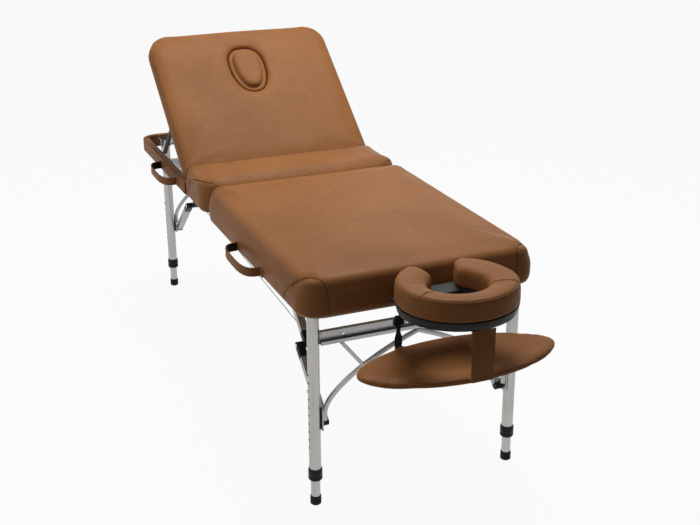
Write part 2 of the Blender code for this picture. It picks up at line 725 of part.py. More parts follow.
hanger_top = board_bottom - CLEARANCE
hanger_low = hanger_top - 0.0022
prop_outer = PROP_X + PROP_THICKNESS / 2 + EAR_GAP + CHEEK_THICKNESS
rib = BACK_HINGE_X - 0.010
solids = [box((-rib - 0.002, 0.190, hanger_low), (rib + 0.002, 0.222, hanger_top))]
ear = [
    (-0.010, hanger_low + 0.0003), (0.030, hanger_low + 0.0003), (0.030, hanger_top - 0.0003),
    (0.0165, hanger_top - 0.0003), (0.0165, 0.0),
]
ear += arc((0.0, 0.0), 0.010, 0, 180, 10)
hole = circle((0.0, 0.0), PIN_RADIUS + PIN_CLEARANCE)
for sign in (-1, 1):
    near, far = sorted((sign * rib, sign * (prop_outer + 0.0002)))
    solids.append(box((near, 0.0125, hanger_low), (far, PROP_PIVOT_Y + 0.012, hanger_top)))
    for hand in (-1, 1):
        face = sign * BACK_HINGE_X + hand * (LUG_THICKNESS / 2 + EAR_GAP)
        solids.append(plate((ear,), ALONG_X, face, face + hand * CHEEK_THICKNESS))
        face = sign * PROP_X + hand * (PROP_THICKNESS / 2 + EAR_GAP)
        near, far = sorted((face, face + hand * CHEEK_THICKNESS))
        solids.append(box(
            (near, PROP_PIVOT_Y - 0.010, -PROP_DROP - 0.006),
            (far, PROP_PIVOT_Y + 0.010, hanger_top - 0.0005)))
    solids.append(cross_pin(sign * BACK_HINGE_X, LUG_THICKNESS / 2 + EAR_GAP + 0.002, 0.0, 0.0))
    solids.append(cross_pin(sign * PROP_X, PROP_THICKNESS / 2 + EAR_GAP + 0.002, PROP_PIVOT_Y, -PROP_DROP))
node("backrest_hanger", solids, BLACK_STEEL, backrest, local=True)

plug = empty("face_plug_axis", (0.0, FACE_HOLE_Y, 0.0), backrest)
plug_top = BACK_HALF_THICKNESS + 0.005


def plug_ring(grow, z):
    return [(x, y - FACE_HOLE_Y, z) for x, y in face_outline(grow)]


rings = [
    plug_ring(-PLUG_GAP, board_top + CLEARANCE),
    plug_ring(-PLUG_GAP, plug_top - 0.010),
    plug_ring(-PLUG_GAP - 0.003, plug_top - 0.003),
    plug_ring(-PLUG_GAP - 0.010, plug_top),
    plug_ring(-0.040, plug_top + 0.003),
]
node("face_plug", [loft(rings)], LEATHER, plug, local=True)

# Prop: a pair of arms, as long as the distance from the tilt axis to their pivot

crank = BACK_TILT - PROP_LEAN
prop_pivot = (BACK_AXIS_Y + PROP_LENGTH * math.cos(crank), BACK_AXIS_Z + PROP_LENGTH * math.sin(crank))
prop_foot = on_track(2 * PROP_LENGTH * math.cos(PROP_ANGLE))
props = empty("prop_axis", (0.0, *prop_pivot), table)
lean = math.atan2(prop_foot[1] - prop_pivot[1], prop_foot[0] - prop_pivot[0])
tie_y = prop_pivot[0] + 0.045 * math.cos(lean) - 0.003 * math.sin(lean)
tie_z = prop_pivot[1] + 0.045 * math.sin(lean) + 0.003 * math.cos(lean)
inside = PROP_X - PROP_THICKNESS / 2
outside = PROP_X + PROP_THICKNESS / 2
hole = circle(prop_pivot, PIN_RADIUS + PIN_CLEARANCE)
solids = [cross_pin(0.0, inside + 0.004, tie_y, tie_z, 0.003)]
for sign in (-1, 1):
    arm = stadium(prop_pivot, prop_foot, PROP_WIDTH / 2, PROP_FOOT_RADIUS)
    solids.append(plate((arm, hole), ALONG_X, sign * inside, sign * outside))
    near = sign * (outside - 0.004)
    solids.append(rod((near, *prop_foot), (sign * (RAIL_INNER - 0.002), *prop_foot), PROP_FOOT_RADIUS))
node("prop_arms", solids, BLACK_STEEL, props)

# Leg pairs


def leg_pair(prefix, side, leg_x):
    y = side * LEG_PIVOT_Y
    pair = empty(prefix + "_leg_axis", (0.0, y, LEG_PIVOT_Z), table)
    top = LEG_PIVOT_Z + LEG_TOP_OVER_PIVOT
    bush = INNER_RADIUS + CLEARANCE
    profile = (
        (LEG_RADIUS, top), (LEG_RADIUS, COLLAR_TOP), (COLLAR_RADIUS - 0.001, COLLAR_TOP),
        (COLLAR_RADIUS, COLLAR_TOP - 0.002), (COLLAR_RADIUS, COLLAR_BOTTOM + 0.003),
        (COLLAR_RADIUS - 0.002, COLLAR_BOTTOM), (bush, COLLAR_BOTTOM), (bush, LEG_BOTTOM),
        (LEG_BORE, LEG_BOTTOM), (LEG_BORE, top),
    )
    for name, sign in (("left", -1), ("right", 1)):
        x = sign * leg_x
        bites = [cross_pin(x, 0.03, y, LEG_PIVOT_Z, PIN_RADIUS + PIN_CLEARANCE)]
        for index in range(HOLE_COUNT):
            z = HOLE_BOTTOM + index * HOLE_PITCH
            bites.append(rod((x + sign * 0.005, y, z), (x + sign * 0.03, y, z), HOLE_RADIUS, 8))
        turned(f"{prefix}_{name}_leg", profile, (x, y, 0.0), ALUMINIUM, pair, bites)

    low = CROSS_RAIL_TOP - CROSS_RAIL_HEIGHT
    near = CROSS_RAIL_SIDE
    far = CROSS_RAIL_SIDE + CROSS_RAIL_DEPTH
    skin = CROSS_RAIL_WALL
    channel = [
        (near, low), (far, low), (far, low + 0.010), (far - skin, low + 0.010), (far - skin, low + skin),
        (near + skin, low + skin), (near + skin, CROSS_RAIL_TOP - skin), (far - skin, CROSS_RAIL_TOP - skin),
        (far - skin, CROSS_RAIL_TOP - 0.010), (far, CROSS_RAIL_TOP - 0.010), (far, CROSS_RAIL_TOP),
        (near, CROSS_RAIL_TOP),
    ]
    channel = [(y + side * out, z) for out, z in channel]
    reach = leg_x - LEG_RADIUS - CLEARANCE
    node(prefix + "_cross_rail", [plate((channel,), ALONG_X, -reach, reach)], ALUMINIUM, pair)

    arch_y = y + side * ARCH_SIDE
    face = leg_x - LEG_RADIUS - CLEARANCE - BRACKET_THICKNESS
    foot_x = face - ARCH_RADIUS + 0.0015
    crown_z = low - CLEARANCE - ARCH_RADIUS

    def arch_point(swing):
        bend = 0.5 * math.sin(swing) + 0.5 * (1 - math.cos(swing))
        return (foot_x * math.cos(swing), arch_y, ARCH_FOOT_Z + (crown_z - ARCH_FOOT_Z) * bend)

    half = [(foot_x, arch_y, BRACE_FOOT_Z + 0.018)]
    half += [arch_point(math.pi / 2 * step / 14) for step in range(15)]
    solids = [tube(half + [(-x, along, z) for x, along, z in half[-2::-1]], ARCH_RADIUS)]
    landing = Vector(arch_point(math.radians(54)))
    head = Vector((leg_x - STRUT_INSET, arch_y, low - CLEARANCE))
    line = (landing - head).normalized()
    head += line * (STRUT_RADIUS * abs(line.x) / abs(line.z))
    bolt_y = y - side * BRACE_SIDE
    low_z = BRACE_FOOT_Z - 0.013
    outline = [
        (y + side * 0.016, low_z), (bolt_y - side * 0.010, low_z),
        (bolt_y - side * 0.010, BRACE_FOOT_Z + 0.010),
        (y, 0.305), (y + side * 0.016, 0.305),
    ]
    for sign in (-1, 1):
        flip = Matrix.Diagonal((sign, 1.0, 1.0))
        solids.append(rod(flip @ head, flip @ landing, STRUT_RADIUS, 16))
        solids.append(plate((outline,), ALONG_X, sign * face, sign * (face + BRACKET_THICKNESS)))
        end = leg_x - LOWER_LANE - BRACE_DEPTH / 2
        solids.append(rod(
            (sign * end, bolt_y, BRACE_FOOT_Z), (sign * (face + 0.002), bolt_y, BRACE_FOOT_Z), PIN_RADIUS))
    node(prefix + "_arch_brace", solids, ALUMINIUM, pair)


leg_pair("front", -1, FRONT_LEG_X)
leg_pair("back", 1, BACK_LEG_X)

# Height-adjusting inner legs with feet and spring buttons


def inner_leg(prefix, x, y):
    hand = math.copysign(1.0, x)
    slide = empty(prefix + "_slide", (x, y, INNER_TOP), table)
    z = HOLE_BOTTOM + BUTTON_HOLE * HOLE_PITCH
    bite = rod((x + hand * 0.004, y, z), (x + hand * 0.020, y, z), HOLE_RADIUS, 8)
    turned(prefix + "_inner_leg", (
        (INNER_RADIUS, INNER_TOP), (INNER_RADIUS, INNER_BOTTOM), (INNER_BORE, INNER_BOTTOM),
        (INNER_BORE, INNER_TOP),
    ), (x, y, 0.0), ALUMINIUM, slide, [bite])
    bore = INNER_RADIUS + CLEARANCE
    turned(prefix + "_foot", (
        (0.0, INNER_BOTTOM - CLEARANCE), (bore, INNER_BOTTOM - CLEARANCE), (bore, FOOT_HEIGHT),
        (FOOT_RADIUS - 0.001, FOOT_HEIGHT), (FOOT_RADIUS, FOOT_HEIGHT - 0.002), (FOOT_RADIUS, 0.003),
        (FOOT_RADIUS - 0.003, 0.0), (0.0, 0.0),
    ), (x, y, 0.0), RUBBER, slide)
    press = empty(prefix + "_button_axis", (x + hand * BUTTON_REACH, y, z), table)
    pin = rod((x + hand * 0.0085, y, z), (x + hand * BUTTON_REACH, y, z), BUTTON_RADIUS, 16)
    node(prefix + "_button", [pin], STEEL, press)


for front_or_back, leg_x, y in (("front", FRONT_LEG_X, -LEG_PIVOT_Y), ("back", BACK_LEG_X, LEG_PIVOT_Y)):
    inner_leg(front_or_back + "_left", -leg_x, y)
    inner_leg(front_or_back + "_right", leg_x, y)

# Folding braces between leg and frame, and the cables from knee to knee


def braces(prefix, side, leg_x):
    knee = (side * KNEE_Y, KNEE_Z)
    foot = (side * (LEG_PIVOT_Y - BRACE_SIDE), BRACE_FOOT_Z)
    anchor = (side * ANCHOR_Y, BRACE_ANCHOR_Z)
    hole = PIN_RADIUS + PIN_CLEARANCE
    thick = BRACE_DEPTH / 2
    lower = empty(prefix + "_lower_brace_axis", (0.0, *foot), table)
    upper = empty(prefix + "_upper_brace_axis", (0.0, *anchor), table)
    for name, sign in (("left", -1), ("right", 1)):
        lane = leg_x - LOWER_LANE
        solids = [plate(
            (stadium(foot, knee, BRACE_WIDTH / 2), circle(foot, hole)), ALONG_X,
            sign * (lane - thick), sign * (lane + thick))]
        pin = leg_x - UPPER_LANE + thick + CLEARANCE
        solids.append(rod((sign * pin, *knee), (sign * (lane - thick + 0.004), *knee), PIN_RADIUS))
        node(f"{prefix}_{name}_lower_brace", solids, ALUMINIUM, lower)
        lane = leg_x - UPPER_LANE
        solids = [plate(
            (stadium(knee, anchor, BRACE_WIDTH / 2), circle(anchor, hole)), ALONG_X,
            sign * (lane - thick), sign * (lane + thick))]
        stud = lane - thick - STUD_LENGTH
        solids.append(rod((sign * stud, *knee), (sign * (lane - thick + 0.004), *knee), STUD_RADIUS))
        node(f"{prefix}_{name}_upper_brace", solids, ALUMINIUM, upper)


braces("front", -1, FRONT_LEG_X)
braces("back", 1, BACK_LEG_X)

inboard = UPPER_LANE + BRACE_DEPTH / 2 + STUD_LENGTH + CLEARANCE + CABLE_RADIUS
for name, sign in (("left", -1), ("right", 1)):
    run = [
        (sign * (FRONT_LEG_X - inboard), -KNEE_Y, KNEE_Z),
        (sign * (BACK_LEG_X - inboard), KNEE_Y, KNEE_Z),
    ]
    node(name + "_cable", [tube(run, CABLE_RADIUS)], STEEL, table)

# Face cradle: fork on two rods, tilting platform, cushion, clamp lever, arm sling

carrier = empty("cradle_slide", (0.0, -CARRIER_Y, ROD_Z), table)
axis = (-CRADLE_AXIS_Y, CRADLE_AXIS_Z)
far_y = -CARRIER_Y - CARRIER_DEPTH
ear = [
    (-CARRIER_Y - 0.001, CARRIER_BOTTOM + 0.001), (-CARRIER_Y - 0.001, CARRIER_TOP - 0.001),
    (-CRADLE_AXIS_Y + 0.006, CARRIER_TOP - 0.001),
]
ear += arc(axis, 0.006, 0, 180, 8)
ear += [
    (-CRADLE_AXIS_Y - 0.006, CARRIER_TOP - 0.001), (far_y + 0.001, CARRIER_TOP - 0.001),
    (far_y + 0.001, CARRIER_BOTTOM + 0.001),
]
solids = [box(
    (-CARRIER_HALF_WIDTH, far_y, CARRIER_BOTTOM), (CARRIER_HALF_WIDTH, -CARRIER_Y, CARRIER_TOP))]
for sign in (-1, 1):
    solids.append(rod(
        (sign * ROD_X, -ROD_INNER_END, ROD_Z), (sign * ROD_X, -CARRIER_Y - 0.010, ROD_Z), ROD_RADIUS, 16))
    solids.append(plate((ear,), ALONG_X, sign * (CRADLE_EAR_X - 0.003), sign * (CRADLE_EAR_X + 0.003)))
    solids.append(rod(
        (sign * (CRADLE_EAR_X - 0.002), *axis), (sign * (CRADLE_EAR_X + 0.0095), *axis), PIN_RADIUS))
node("cradle_fork", solids, BLACK_STEEL, carrier)

strap_back = -CRADLE_AXIS_Y - STRAP_THICKNESS / 2
strap_face = -CRADLE_AXIS_Y + STRAP_THICKNESS / 2
strap_top = CARRIER_BOTTOM - CLEARANCE
strap_end = REAR_STRAP_X + REAR_STRAP_WIDTH / 2
solids = [box((-strap_end, strap_back, strap_top - 0.004), (strap_end, strap_face, strap_top))]
for sign in (-1, 1):
    near, far = sorted((sign * (strap_end - REAR_STRAP_WIDTH), sign * strap_end))
    solids.append(box(
        (near, strap_back, SLING_PIVOT_Z + CLEARANCE), (far, strap_face, strap_top - 0.002)))
node("sling_rear_strap", solids, WEBBING, carrier)

lever = empty("cradle_lever_axis", (0.0, *axis), table)
tip = (-CRADLE_AXIS_Y + LEVER_LENGTH, CRADLE_AXIS_Z - 0.006)
solids = [plate((stadium(axis, tip, 0.0055),), ALONG_X, -LEVER_X - 0.0035, -LEVER_X + 0.0037)]
node("cradle_lever", solids, BLACK_PLASTIC, lever)

cradle = empty("cradle_tilt_axis", (0.0, *axis), table)


def horseshoe(station):
    # Centre line of the cradle ring, from one arm end round the front to the other
    swing = math.radians(-90 + 360 * (station - 0.5))
    across = CRADLE_HALF_WIDTH - CRADLE_ARM / 2
    deep = (CRADLE_FRONT - CRADLE_BACK - CRADLE_ARM) / 2
    middle = -(CRADLE_FRONT + CRADLE_BACK) / 2
    return Vector((across * math.cos(swing), middle + deep * math.sin(swing)))


def ring_stations(first, count):
    places = []
    for step in range(count):
        station = first + (1 - 2 * first) * step / (count - 1)
        here = horseshoe(station)
        along = (horseshoe(station + 0.002) - here).normalized()
        places.append((here, Vector((-along.y, along.x))))
    return places


base = PLATFORM_TOP + CLEARANCE
height = CRADLE_CUSHION_TOP - base
section = [
    (-0.46, 0.0), (0.46, 0.0), (0.50, 0.10), (0.495, 0.62), (0.44, 0.86), (0.30, 0.97),
    (0.0, 1.0), (-0.30, 0.97), (-0.44, 0.86), (-0.495, 0.62), (-0.50, 0.10),
]
rings = []
stations = ring_stations(CRADLE_GAP_SHARE, 35)
for index, (here, side_way) in enumerate(stations):
    at_end = index in (0, len(stations) - 1)
    width = CRADLE_ARM * (0.72 if at_end else 1.0)
    tall = height * (0.86 if at_end else 1.0)
    rings.append([
        (here.x + side_way.x * width * across, here.y + side_way.y * width * across, base + tall * up)
        for across, up in section
    ])
node("cradle_cushion", [loft(rings)], LEATHER, cradle)

left_edge = []
right_edge = []
for here, side_way in ring_stations(CRADLE_GAP_SHARE - 0.004, 35):
    left_edge.append(tuple(here + side_way * CRADLE_ARM * 0.40))
    right_edge.append(tuple(here - side_way * CRADLE_ARM * 0.47))
solids = [plate((left_edge + right_edge[::-1],), ALONG_Z, PLATFORM_BOTTOM, PLATFORM_TOP)]
solids.append(box(
    (-PLATFORM_BAR, -CRADLE_AXIS_Y - 0.050, PLATFORM_BOTTOM + 0.0005),
    (PLATFORM_BAR, -CRADLE_AXIS_Y + 0.008, PLATFORM_TOP - 0.0005)))
lug = [(-CRADLE_AXIS_Y - 0.007, PLATFORM_BOTTOM + 0.004)]
lug += arc(axis, 0.007, 180, 360, 8)
lug += [(-CRADLE_AXIS_Y + 0.007, PLATFORM_BOTTOM + 0.004)]
hole = circle(axis, PIN_RADIUS + PIN_CLEARANCE)
lug_x = CRADLE_EAR_X + 0.003 + EAR_GAP
for sign in (-1, 1):
    solids.append(plate((lug, hole), ALONG_X, sign * lug_x, sign * (lug_x + 0.0055)))
node("cradle_platform", solids, BLACK_PLASTIC, cradle)

front_strap = empty("front_strap_axis", (0.0, -FRONT_STRAP_Y, CRADLE_AXIS_Z), table)
solids = [box(
    (-FRONT_STRAP_WIDTH / 2, -FRONT_STRAP_Y - STRAP_THICKNESS / 2, SLING_PIVOT_Z + CLEARANCE),
    (FRONT_STRAP_WIDTH / 2, -FRONT_STRAP_Y + STRAP_THICKNESS / 2, PLATFORM_BOTTOM - CLEARANCE))]
node("sling_front_strap", solids, LEATHER, front_strap)

sling = empty("sling_axis", (0.0, -CRADLE_AXIS_Y, SLING_PIVOT_Z), table)


def sling_ring(shrink, z):
    # Leaf outline with narrow rounded tips
    points = []
    for step in range(36):
        swing = math.tau * step / 36
        across = math.cos(swing)
        along = math.copysign(abs(math.sin(swing)) ** 1.15, math.sin(swing))
        points.append((
            across * (SLING_HALF_LENGTH - 2 * shrink), -SLING_Y + along * (SLING_HALF_WIDTH - shrink), z))
    return points


top = SLING_PIVOT_Z - CLEARANCE
rings = [
    sling_ring(0.050, top - SLING_THICKNESS), sling_ring(0.020, top - SLING_THICKNESS * 0.92),
    sling_ring(0.004, top - SLING_THICKNESS * 0.65), sling_ring(0.0, top - SLING_THICKNESS * 0.35),
    sling_ring(0.002, top - 0.002), sling_ring(0.006, top), sling_ring(0.050, top),
]
solids = [loft(rings)]
tab_low = top - 0.012
front_tab = FRONT_STRAP_WIDTH / 2 - 0.002
solids.append(box(
    (-front_tab, -FRONT_STRAP_Y - 0.002, tab_low),
    (front_tab, -SLING_Y - SLING_HALF_WIDTH + 0.020, top - 0.0001)))
for sign in (-1, 1):
    near, far = sorted((sign * (strap_end - REAR_STRAP_WIDTH + 0.001), sign * (strap_end - 0.001)))
    solids.append(box((near, -CRADLE_AXIS_Y - 0.026, tab_low), (far, -CRADLE_AXIS_Y + 0.002, top - 0.0001)))
node("sling_pad", solids, LEATHER, sling)
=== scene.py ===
import json
import math

import bpy
from mathutils import Matrix, Vector
from mathutils.bvhtree import BVHTree
from mathutils.kdtree import KDTree


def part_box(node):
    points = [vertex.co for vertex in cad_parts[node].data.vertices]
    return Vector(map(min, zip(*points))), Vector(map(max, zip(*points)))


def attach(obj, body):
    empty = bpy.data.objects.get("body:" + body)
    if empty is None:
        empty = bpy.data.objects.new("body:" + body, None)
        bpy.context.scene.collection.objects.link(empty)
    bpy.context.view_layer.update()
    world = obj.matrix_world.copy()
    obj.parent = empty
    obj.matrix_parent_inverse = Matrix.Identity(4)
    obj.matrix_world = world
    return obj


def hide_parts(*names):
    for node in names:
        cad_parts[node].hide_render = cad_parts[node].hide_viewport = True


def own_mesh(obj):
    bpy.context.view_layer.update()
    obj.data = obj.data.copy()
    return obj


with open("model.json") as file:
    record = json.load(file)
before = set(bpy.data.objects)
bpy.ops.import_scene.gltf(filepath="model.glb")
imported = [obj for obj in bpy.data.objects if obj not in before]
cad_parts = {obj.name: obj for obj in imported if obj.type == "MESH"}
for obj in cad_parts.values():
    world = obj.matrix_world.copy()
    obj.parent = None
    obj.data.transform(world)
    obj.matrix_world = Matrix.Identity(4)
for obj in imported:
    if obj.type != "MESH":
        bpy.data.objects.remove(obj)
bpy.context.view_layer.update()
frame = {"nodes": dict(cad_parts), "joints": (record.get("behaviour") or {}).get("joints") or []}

cadNodes = frame["nodes"]
joints = {joint["name"]: joint for joint in frame["joints"]}
seam = Vector(joints["table_fold"]["pos_m"])  # middle of the fold line
scene = bpy.context.scene
print("frame loaded:", len(cadNodes), "nodes")


def at(x, y, z):  # place given from the middle of the fold line, height from the floor
    return Vector((seam.x + x, seam.y + y, z))


def pickNone():
    bpy.ops.object.select_all(action="DESELECT")


def editing(on):
    bpy.ops.object.mode_set(mode="EDIT" if on else "OBJECT")


def fixPlace():  # puts the place, turn and size of what is picked into its mesh
    bpy.ops.object.transform_apply(location=True, rotation=True, scale=True)


def pickOnly(*pieces):
    pickNone()
    for piece in pieces:
        piece.select_set(True)
    bpy.context.view_layer.objects.active = pieces[0]


def bake(piece, kind, **settings):  # adds one modifier and applies it
    step = piece.modifiers.new(kind.title(), kind)
    for key, value in settings.items():
        setattr(step, key, value)
    pickOnly(piece)
    bpy.ops.object.modifier_apply(modifier=step.name)


def discard(piece):
    bpy.data.objects.remove(piece)


def block(name, low, high):  # box between two corners
    pickNone()
    bpy.ops.mesh.primitive_cube_add(size=1.0, location=(Vector(low) + Vector(high)) / 2)
    made = bpy.context.object
    made.name = name
    made.scale = Vector(high) - Vector(low)
    fixPlace()
    return made


def selectEdges(piece, wanted):  # leaves the piece in edit mode with those edges picked
    pickOnly(piece)
    editing(True)
    bpy.ops.mesh.select_mode(type="EDGE")
    bpy.ops.mesh.select_all(action="DESELECT")
    editing(False)
    points = piece.data.vertices
    for edge in piece.data.edges:
        edge.select = wanted(points[edge.vertices[0]].co, points[edge.vertices[1]].co)
    editing(True)


def roundEdges(piece, wanted, width, segments):
    selectEdges(piece, wanted)
    bpy.ops.mesh.bevel(offset=width, segments=segments, affect="EDGES")
    editing(False)


def selectPoints(piece, wanted):
    pickOnly(piece)
    editing(True)
    bpy.ops.mesh.select_mode(type="VERT")
    bpy.ops.mesh.select_all(action="DESELECT")
    editing(False)
    for point in piece.data.vertices:
        point.select = wanted(point.co)
    editing(True)


samePlace = 0.001  # edges and points closer than this count as together


def upright(a, b):
    return abs(a.z - b.z) > samePlace and (a - b).xy.length < samePlace / 2


def easeEdges(piece, width, segments, angle=50):  # small bevel on edges sharper than the angle
    limit = math.radians(angle)
    bake(piece, "BEVEL", width=width, segments=segments, limit_method="ANGLE", angle_limit=limit)


def cut(piece, *tools):
    for tool in tools:
        bake(piece, "BOOLEAN", operation="DIFFERENCE", object=tool, solver="EXACT")
        discard(tool)


sameCorner = 0.00002  # corners of a CAD mesh closer than this are merged


def solidOf(node, name):  # merged copy of a CAD node, to work on
    made = bpy.data.objects.new(name, cadNodes[node].data.copy())
    scene.collection.objects.link(made)
    pickOnly(made)
    editing(True)
    bpy.ops.mesh.select_all(action="SELECT")
    bpy.ops.mesh.remove_doubles(threshold=sameCorner)
    bpy.ops.mesh.normals_make_consistent(inside=False)
    editing(False)
    made.data.materials.clear()
    return made


def aimed(spot, way):  # matrix that sets a shape down with its own Z along a way
    return Matrix.Translation(spot) @ Vector(way).to_track_quat("Z", "Y").to_matrix().to_4x4()


def bar(name, start, end, radius, sides=32):  # round bar between two points
    start, end = Vector(start), Vector(end)
    pickNone()
    bpy.ops.mesh.primitive_cylinder_add(vertices=sides, radius=radius, depth=(end - start).length)
    made = bpy.context.object
    made.name = name
    made.matrix_world = aimed((start + end) / 2, end - start)
    fixPlace()
    return made


def lathe(name, profile, foot, sides=48):  # radius and height pairs, drawn ring by ring
    pickNone()
    firstRadius, firstHeight = profile[0]
    bpy.ops.mesh.primitive_circle_add(
        vertices=sides, radius=firstRadius, fill_type="NOTHING", location=(0, 0, firstHeight))
    made = bpy.context.object
    made.name = name
    fixPlace()
    editing(True)
    bpy.ops.mesh.select_all(action="SELECT")
    for (radius, height), (nextRadius, nextHeight) in zip(profile, profile[1:]):
        bpy.ops.mesh.extrude_region_move(TRANSFORM_OT_translate={"value": (0, 0, nextHeight - height)})
        share = nextRadius / radius
        bpy.ops.transform.resize(value=(share, share, 1.0), center_override=(0, 0, nextHeight))
    bpy.ops.mesh.select_all(action="SELECT")
    bpy.ops.mesh.remove_doubles(threshold=0.000005)
    bpy.ops.mesh.normals_make_consistent(inside=False)
    editing(False)
    made.location = foot
    fixPlace()
    return made


def joined(name, pieces):
    pickOnly(*pieces)
    if len(pieces) > 1:
        bpy.ops.object.join()
    pieces[0].name = name
    return pieces[0]


def evenly(points, pitch):  # the same line with points at an even pitch
    points = [Vector(p) for p in points]
    spots = [points[0]]
    left = pitch
    for a, b in zip(points, points[1:]):
        run = (b - a).length
        while run >= left and run > 0:
            a = a.lerp(b, left / run)
            spots.append(a)
            run = (b - a).length
            left = pitch
        left -= run
    return spots


def rounded(points, steps=8):  # smooth line through a few points
    points = [Vector(p) for p in points]
    ends = [2 * points[0] - points[1], *points, 2 * points[-1] - points[-2]]
    line = []
    for a, b, c, d in zip(ends, ends[1:], ends[2:], ends[3:]):
        for step in range(steps):
            t = step / steps
            square = 2 * a - 5 * b + 4 * c - d
            cube = 3 * b - a - 3 * c + d
            line.append(0.5 * (2 * b + (c - a) * t + square * t * t + cube * t ** 3))
    return line + [points[-1]]


def cords(name, lines, radius, sides):  # one mesh of round cords along some lines
    shape = bpy.data.curves.new(name, "CURVE")
    shape.dimensions = "3D"
    shape.bevel_depth = radius
    shape.bevel_resolution = sides
    shape.use_fill_caps = True
    for line in lines:
        spline = shape.splines.new("POLY")
        spline.points.add(len(line) - 1)
        for point, spot in zip(spline.points, line):
            point.co = (*spot, 1.0)
    made = bpy.data.objects.new(name, shape)
    scene.collection.objects.link(made)
    pickOnly(made)
    bpy.ops.object.convert(target="MESH")
    return bpy.context.object


def skinOf(piece):
    return BVHTree.FromObject(piece, bpy.context.evaluated_depsgraph_get())


def laidOn(skin, points, lift=0.0, aside=0.0):  # a line dropped onto the nearest skin, or beside itself
    points = [Vector(point) for point in points]
    spots = []
    for index, point in enumerate(points):
        spot, normal = skin.find_nearest(point)[:2]
        if aside:
            along = points[min(index + 1, len(points) - 1)] - points[max(index - 1, 0)]
            spot, normal = skin.find_nearest(spot + along.cross(normal).normalized() * aside)[:2]
        spots.append(spot + normal * lift)
    return spots


sewing = {"seamPitch": 0.004, "seamRadius": 0.0008, "seamLift": 0.0001,
          "rowPitch": 0.003, "rowLift": 0.0003, "stitchRadius": 0.00055}


def dashes(line, pitch=0.0062, long=0.0042):  # stitch ends along a line
    spots = evenly(line, pitch)
    return [(a, a.lerp(b, long / pitch)) for a, b in zip(spots, spots[1:])]


smoothAngle = math.radians(38)


def settle(piece, body, look, slot, *stoodFor):  # material, smoothing, and the body it moves with
    piece.data.materials.clear()
    piece.data.materials.append(look)
    pickOnly(piece)
    bpy.ops.object.shade_smooth_by_angle(angle=smoothAngle)
    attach(piece, body)
    if stoodFor:
        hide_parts(*stoodFor)
    return piece


def stitched(name, body, lines, *dashSize):  # rows of thread laid along lines
    ends = [dash for line in lines for dash in dashes(line, *dashSize)]
    settle(cords(name, ends, sewing["stitchRadius"], 0), body, thread, "brown_leather")


def sewOn(pad, name, body, lines, row=0.0045, look=None):  # sewn-in line, with a row of stitches beside it
    skin = skinOf(pad)
    laid = [laidOn(skin, evenly(line, sewing["seamPitch"]), sewing["seamLift"]) for line in lines]
    # the cord defaults to the near-black copy of the hide: painted shade along the seam
    settle(cords(name + "Seam", laid, sewing["seamRadius"], 1), body, look or seamShadeHide, "brown_leather")
    if row:
        beside = [laidOn(skin, evenly(line, sewing["rowPitch"]), sewing["rowLift"], row) for line in laid]
        stitched(name + "Stitches", body, beside)


class Finish:  # a Principled material and its node tree, put together step by step
    def __init__(self, name, color, roughness, metallic=0.0, specular=0.5):
        self.look = bpy.data.materials.new(name)
        self.look.use_nodes = True
        self.tree = self.look.node_tree
        self.shader = self.tree.nodes["Principled BSDF"]
        self.shader.inputs["Base Color"].default_value = (*color, 1.0)
        self.shader.inputs["Roughness"].default_value = roughness
        self.shader.inputs["Metallic"].default_value = metallic
        self.shader.inputs["Specular IOR Level"].default_value = specular
        self.look.diffuse_color = (*color, 1.0)
        self.place = self.node("ShaderNodeTexCoord").outputs["Object"]

    def node(self, kind, inputs=(), **settings):
        made = self.tree.nodes.new(kind)
        for key, value in settings.items():
            setattr(made, key, value)
        for key, value in dict(inputs).items():
            if isinstance(value, bpy.types.NodeSocket):
                self.tree.links.new(value, made.inputs[key])
            else:
                made.inputs[key].default_value = value
        return made

    def stretched(self, scale):
        return self.node("ShaderNodeMapping", {"Vector": self.place, "Scale": scale}).outputs["Vector"]

    def noise(self, scale, detail, where=None, rough=0.5):
        made = self.node("ShaderNodeTexNoise", {
            "Vector": where or self.place, "Scale": scale, "Detail": detail, "Roughness": rough})
        return made.outputs["Fac"]

    def cells(self, scale):
        return self.node("ShaderNodeTexVoronoi", {"Vector": self.place, "Scale": scale}).outputs["Distance"]

    def ranged(self, value, low, high, fromLow=0.3, fromHigh=0.7):
        made = self.node("ShaderNodeMapRange", {
            "Value": value, "From Min": fromLow, "From Max": fromHigh, "To Min": low, "To Max": high})
        return made.outputs["Result"]

    def tint(self, value, dark, light, fromLow=0.3, fromHigh=0.7):
        share = self.ranged(value, 0.0, 1.0, fromLow, fromHigh)
        return self.node("ShaderNodeMix", {
            0: share, 6: (*dark, 1.0), 7: (*light, 1.0)}, data_type="RGBA").outputs[2]

    def times(self, a, b):
        return self.node("ShaderNodeMath", {0: a, 1: b}, operation="MULTIPLY").outputs[0]

    def plus(self, a, b):
        return self.node("ShaderNodeMath", {0: a, 1: b}, operation="ADD").outputs[0]

    def mixed(self, a, shareA, b, shareB):  # weighted sum of two sockets
        return self.plus(self.times(a, shareA), self.times(b, shareB))

    def color(self, socket):
        self.tree.links.new(socket, self.shader.inputs["Base Color"])

    def rough(self, socket):
        self.tree.links.new(socket, self.shader.inputs["Roughness"])

    def bump(self, height, strength, distance):
        made = self.node("ShaderNodeBump", {"Height": height, "Strength": strength, "Distance": distance})
        self.tree.links.new(made.outputs["Normal"], self.shader.inputs["Normal"])


hideGrain = {"cloud": 4.5, "pore": 620.0, "fine": 260.0, "crease": 38.0, "relief": 0.16, "depth": 0.0009,
             "sheen": 0.07}


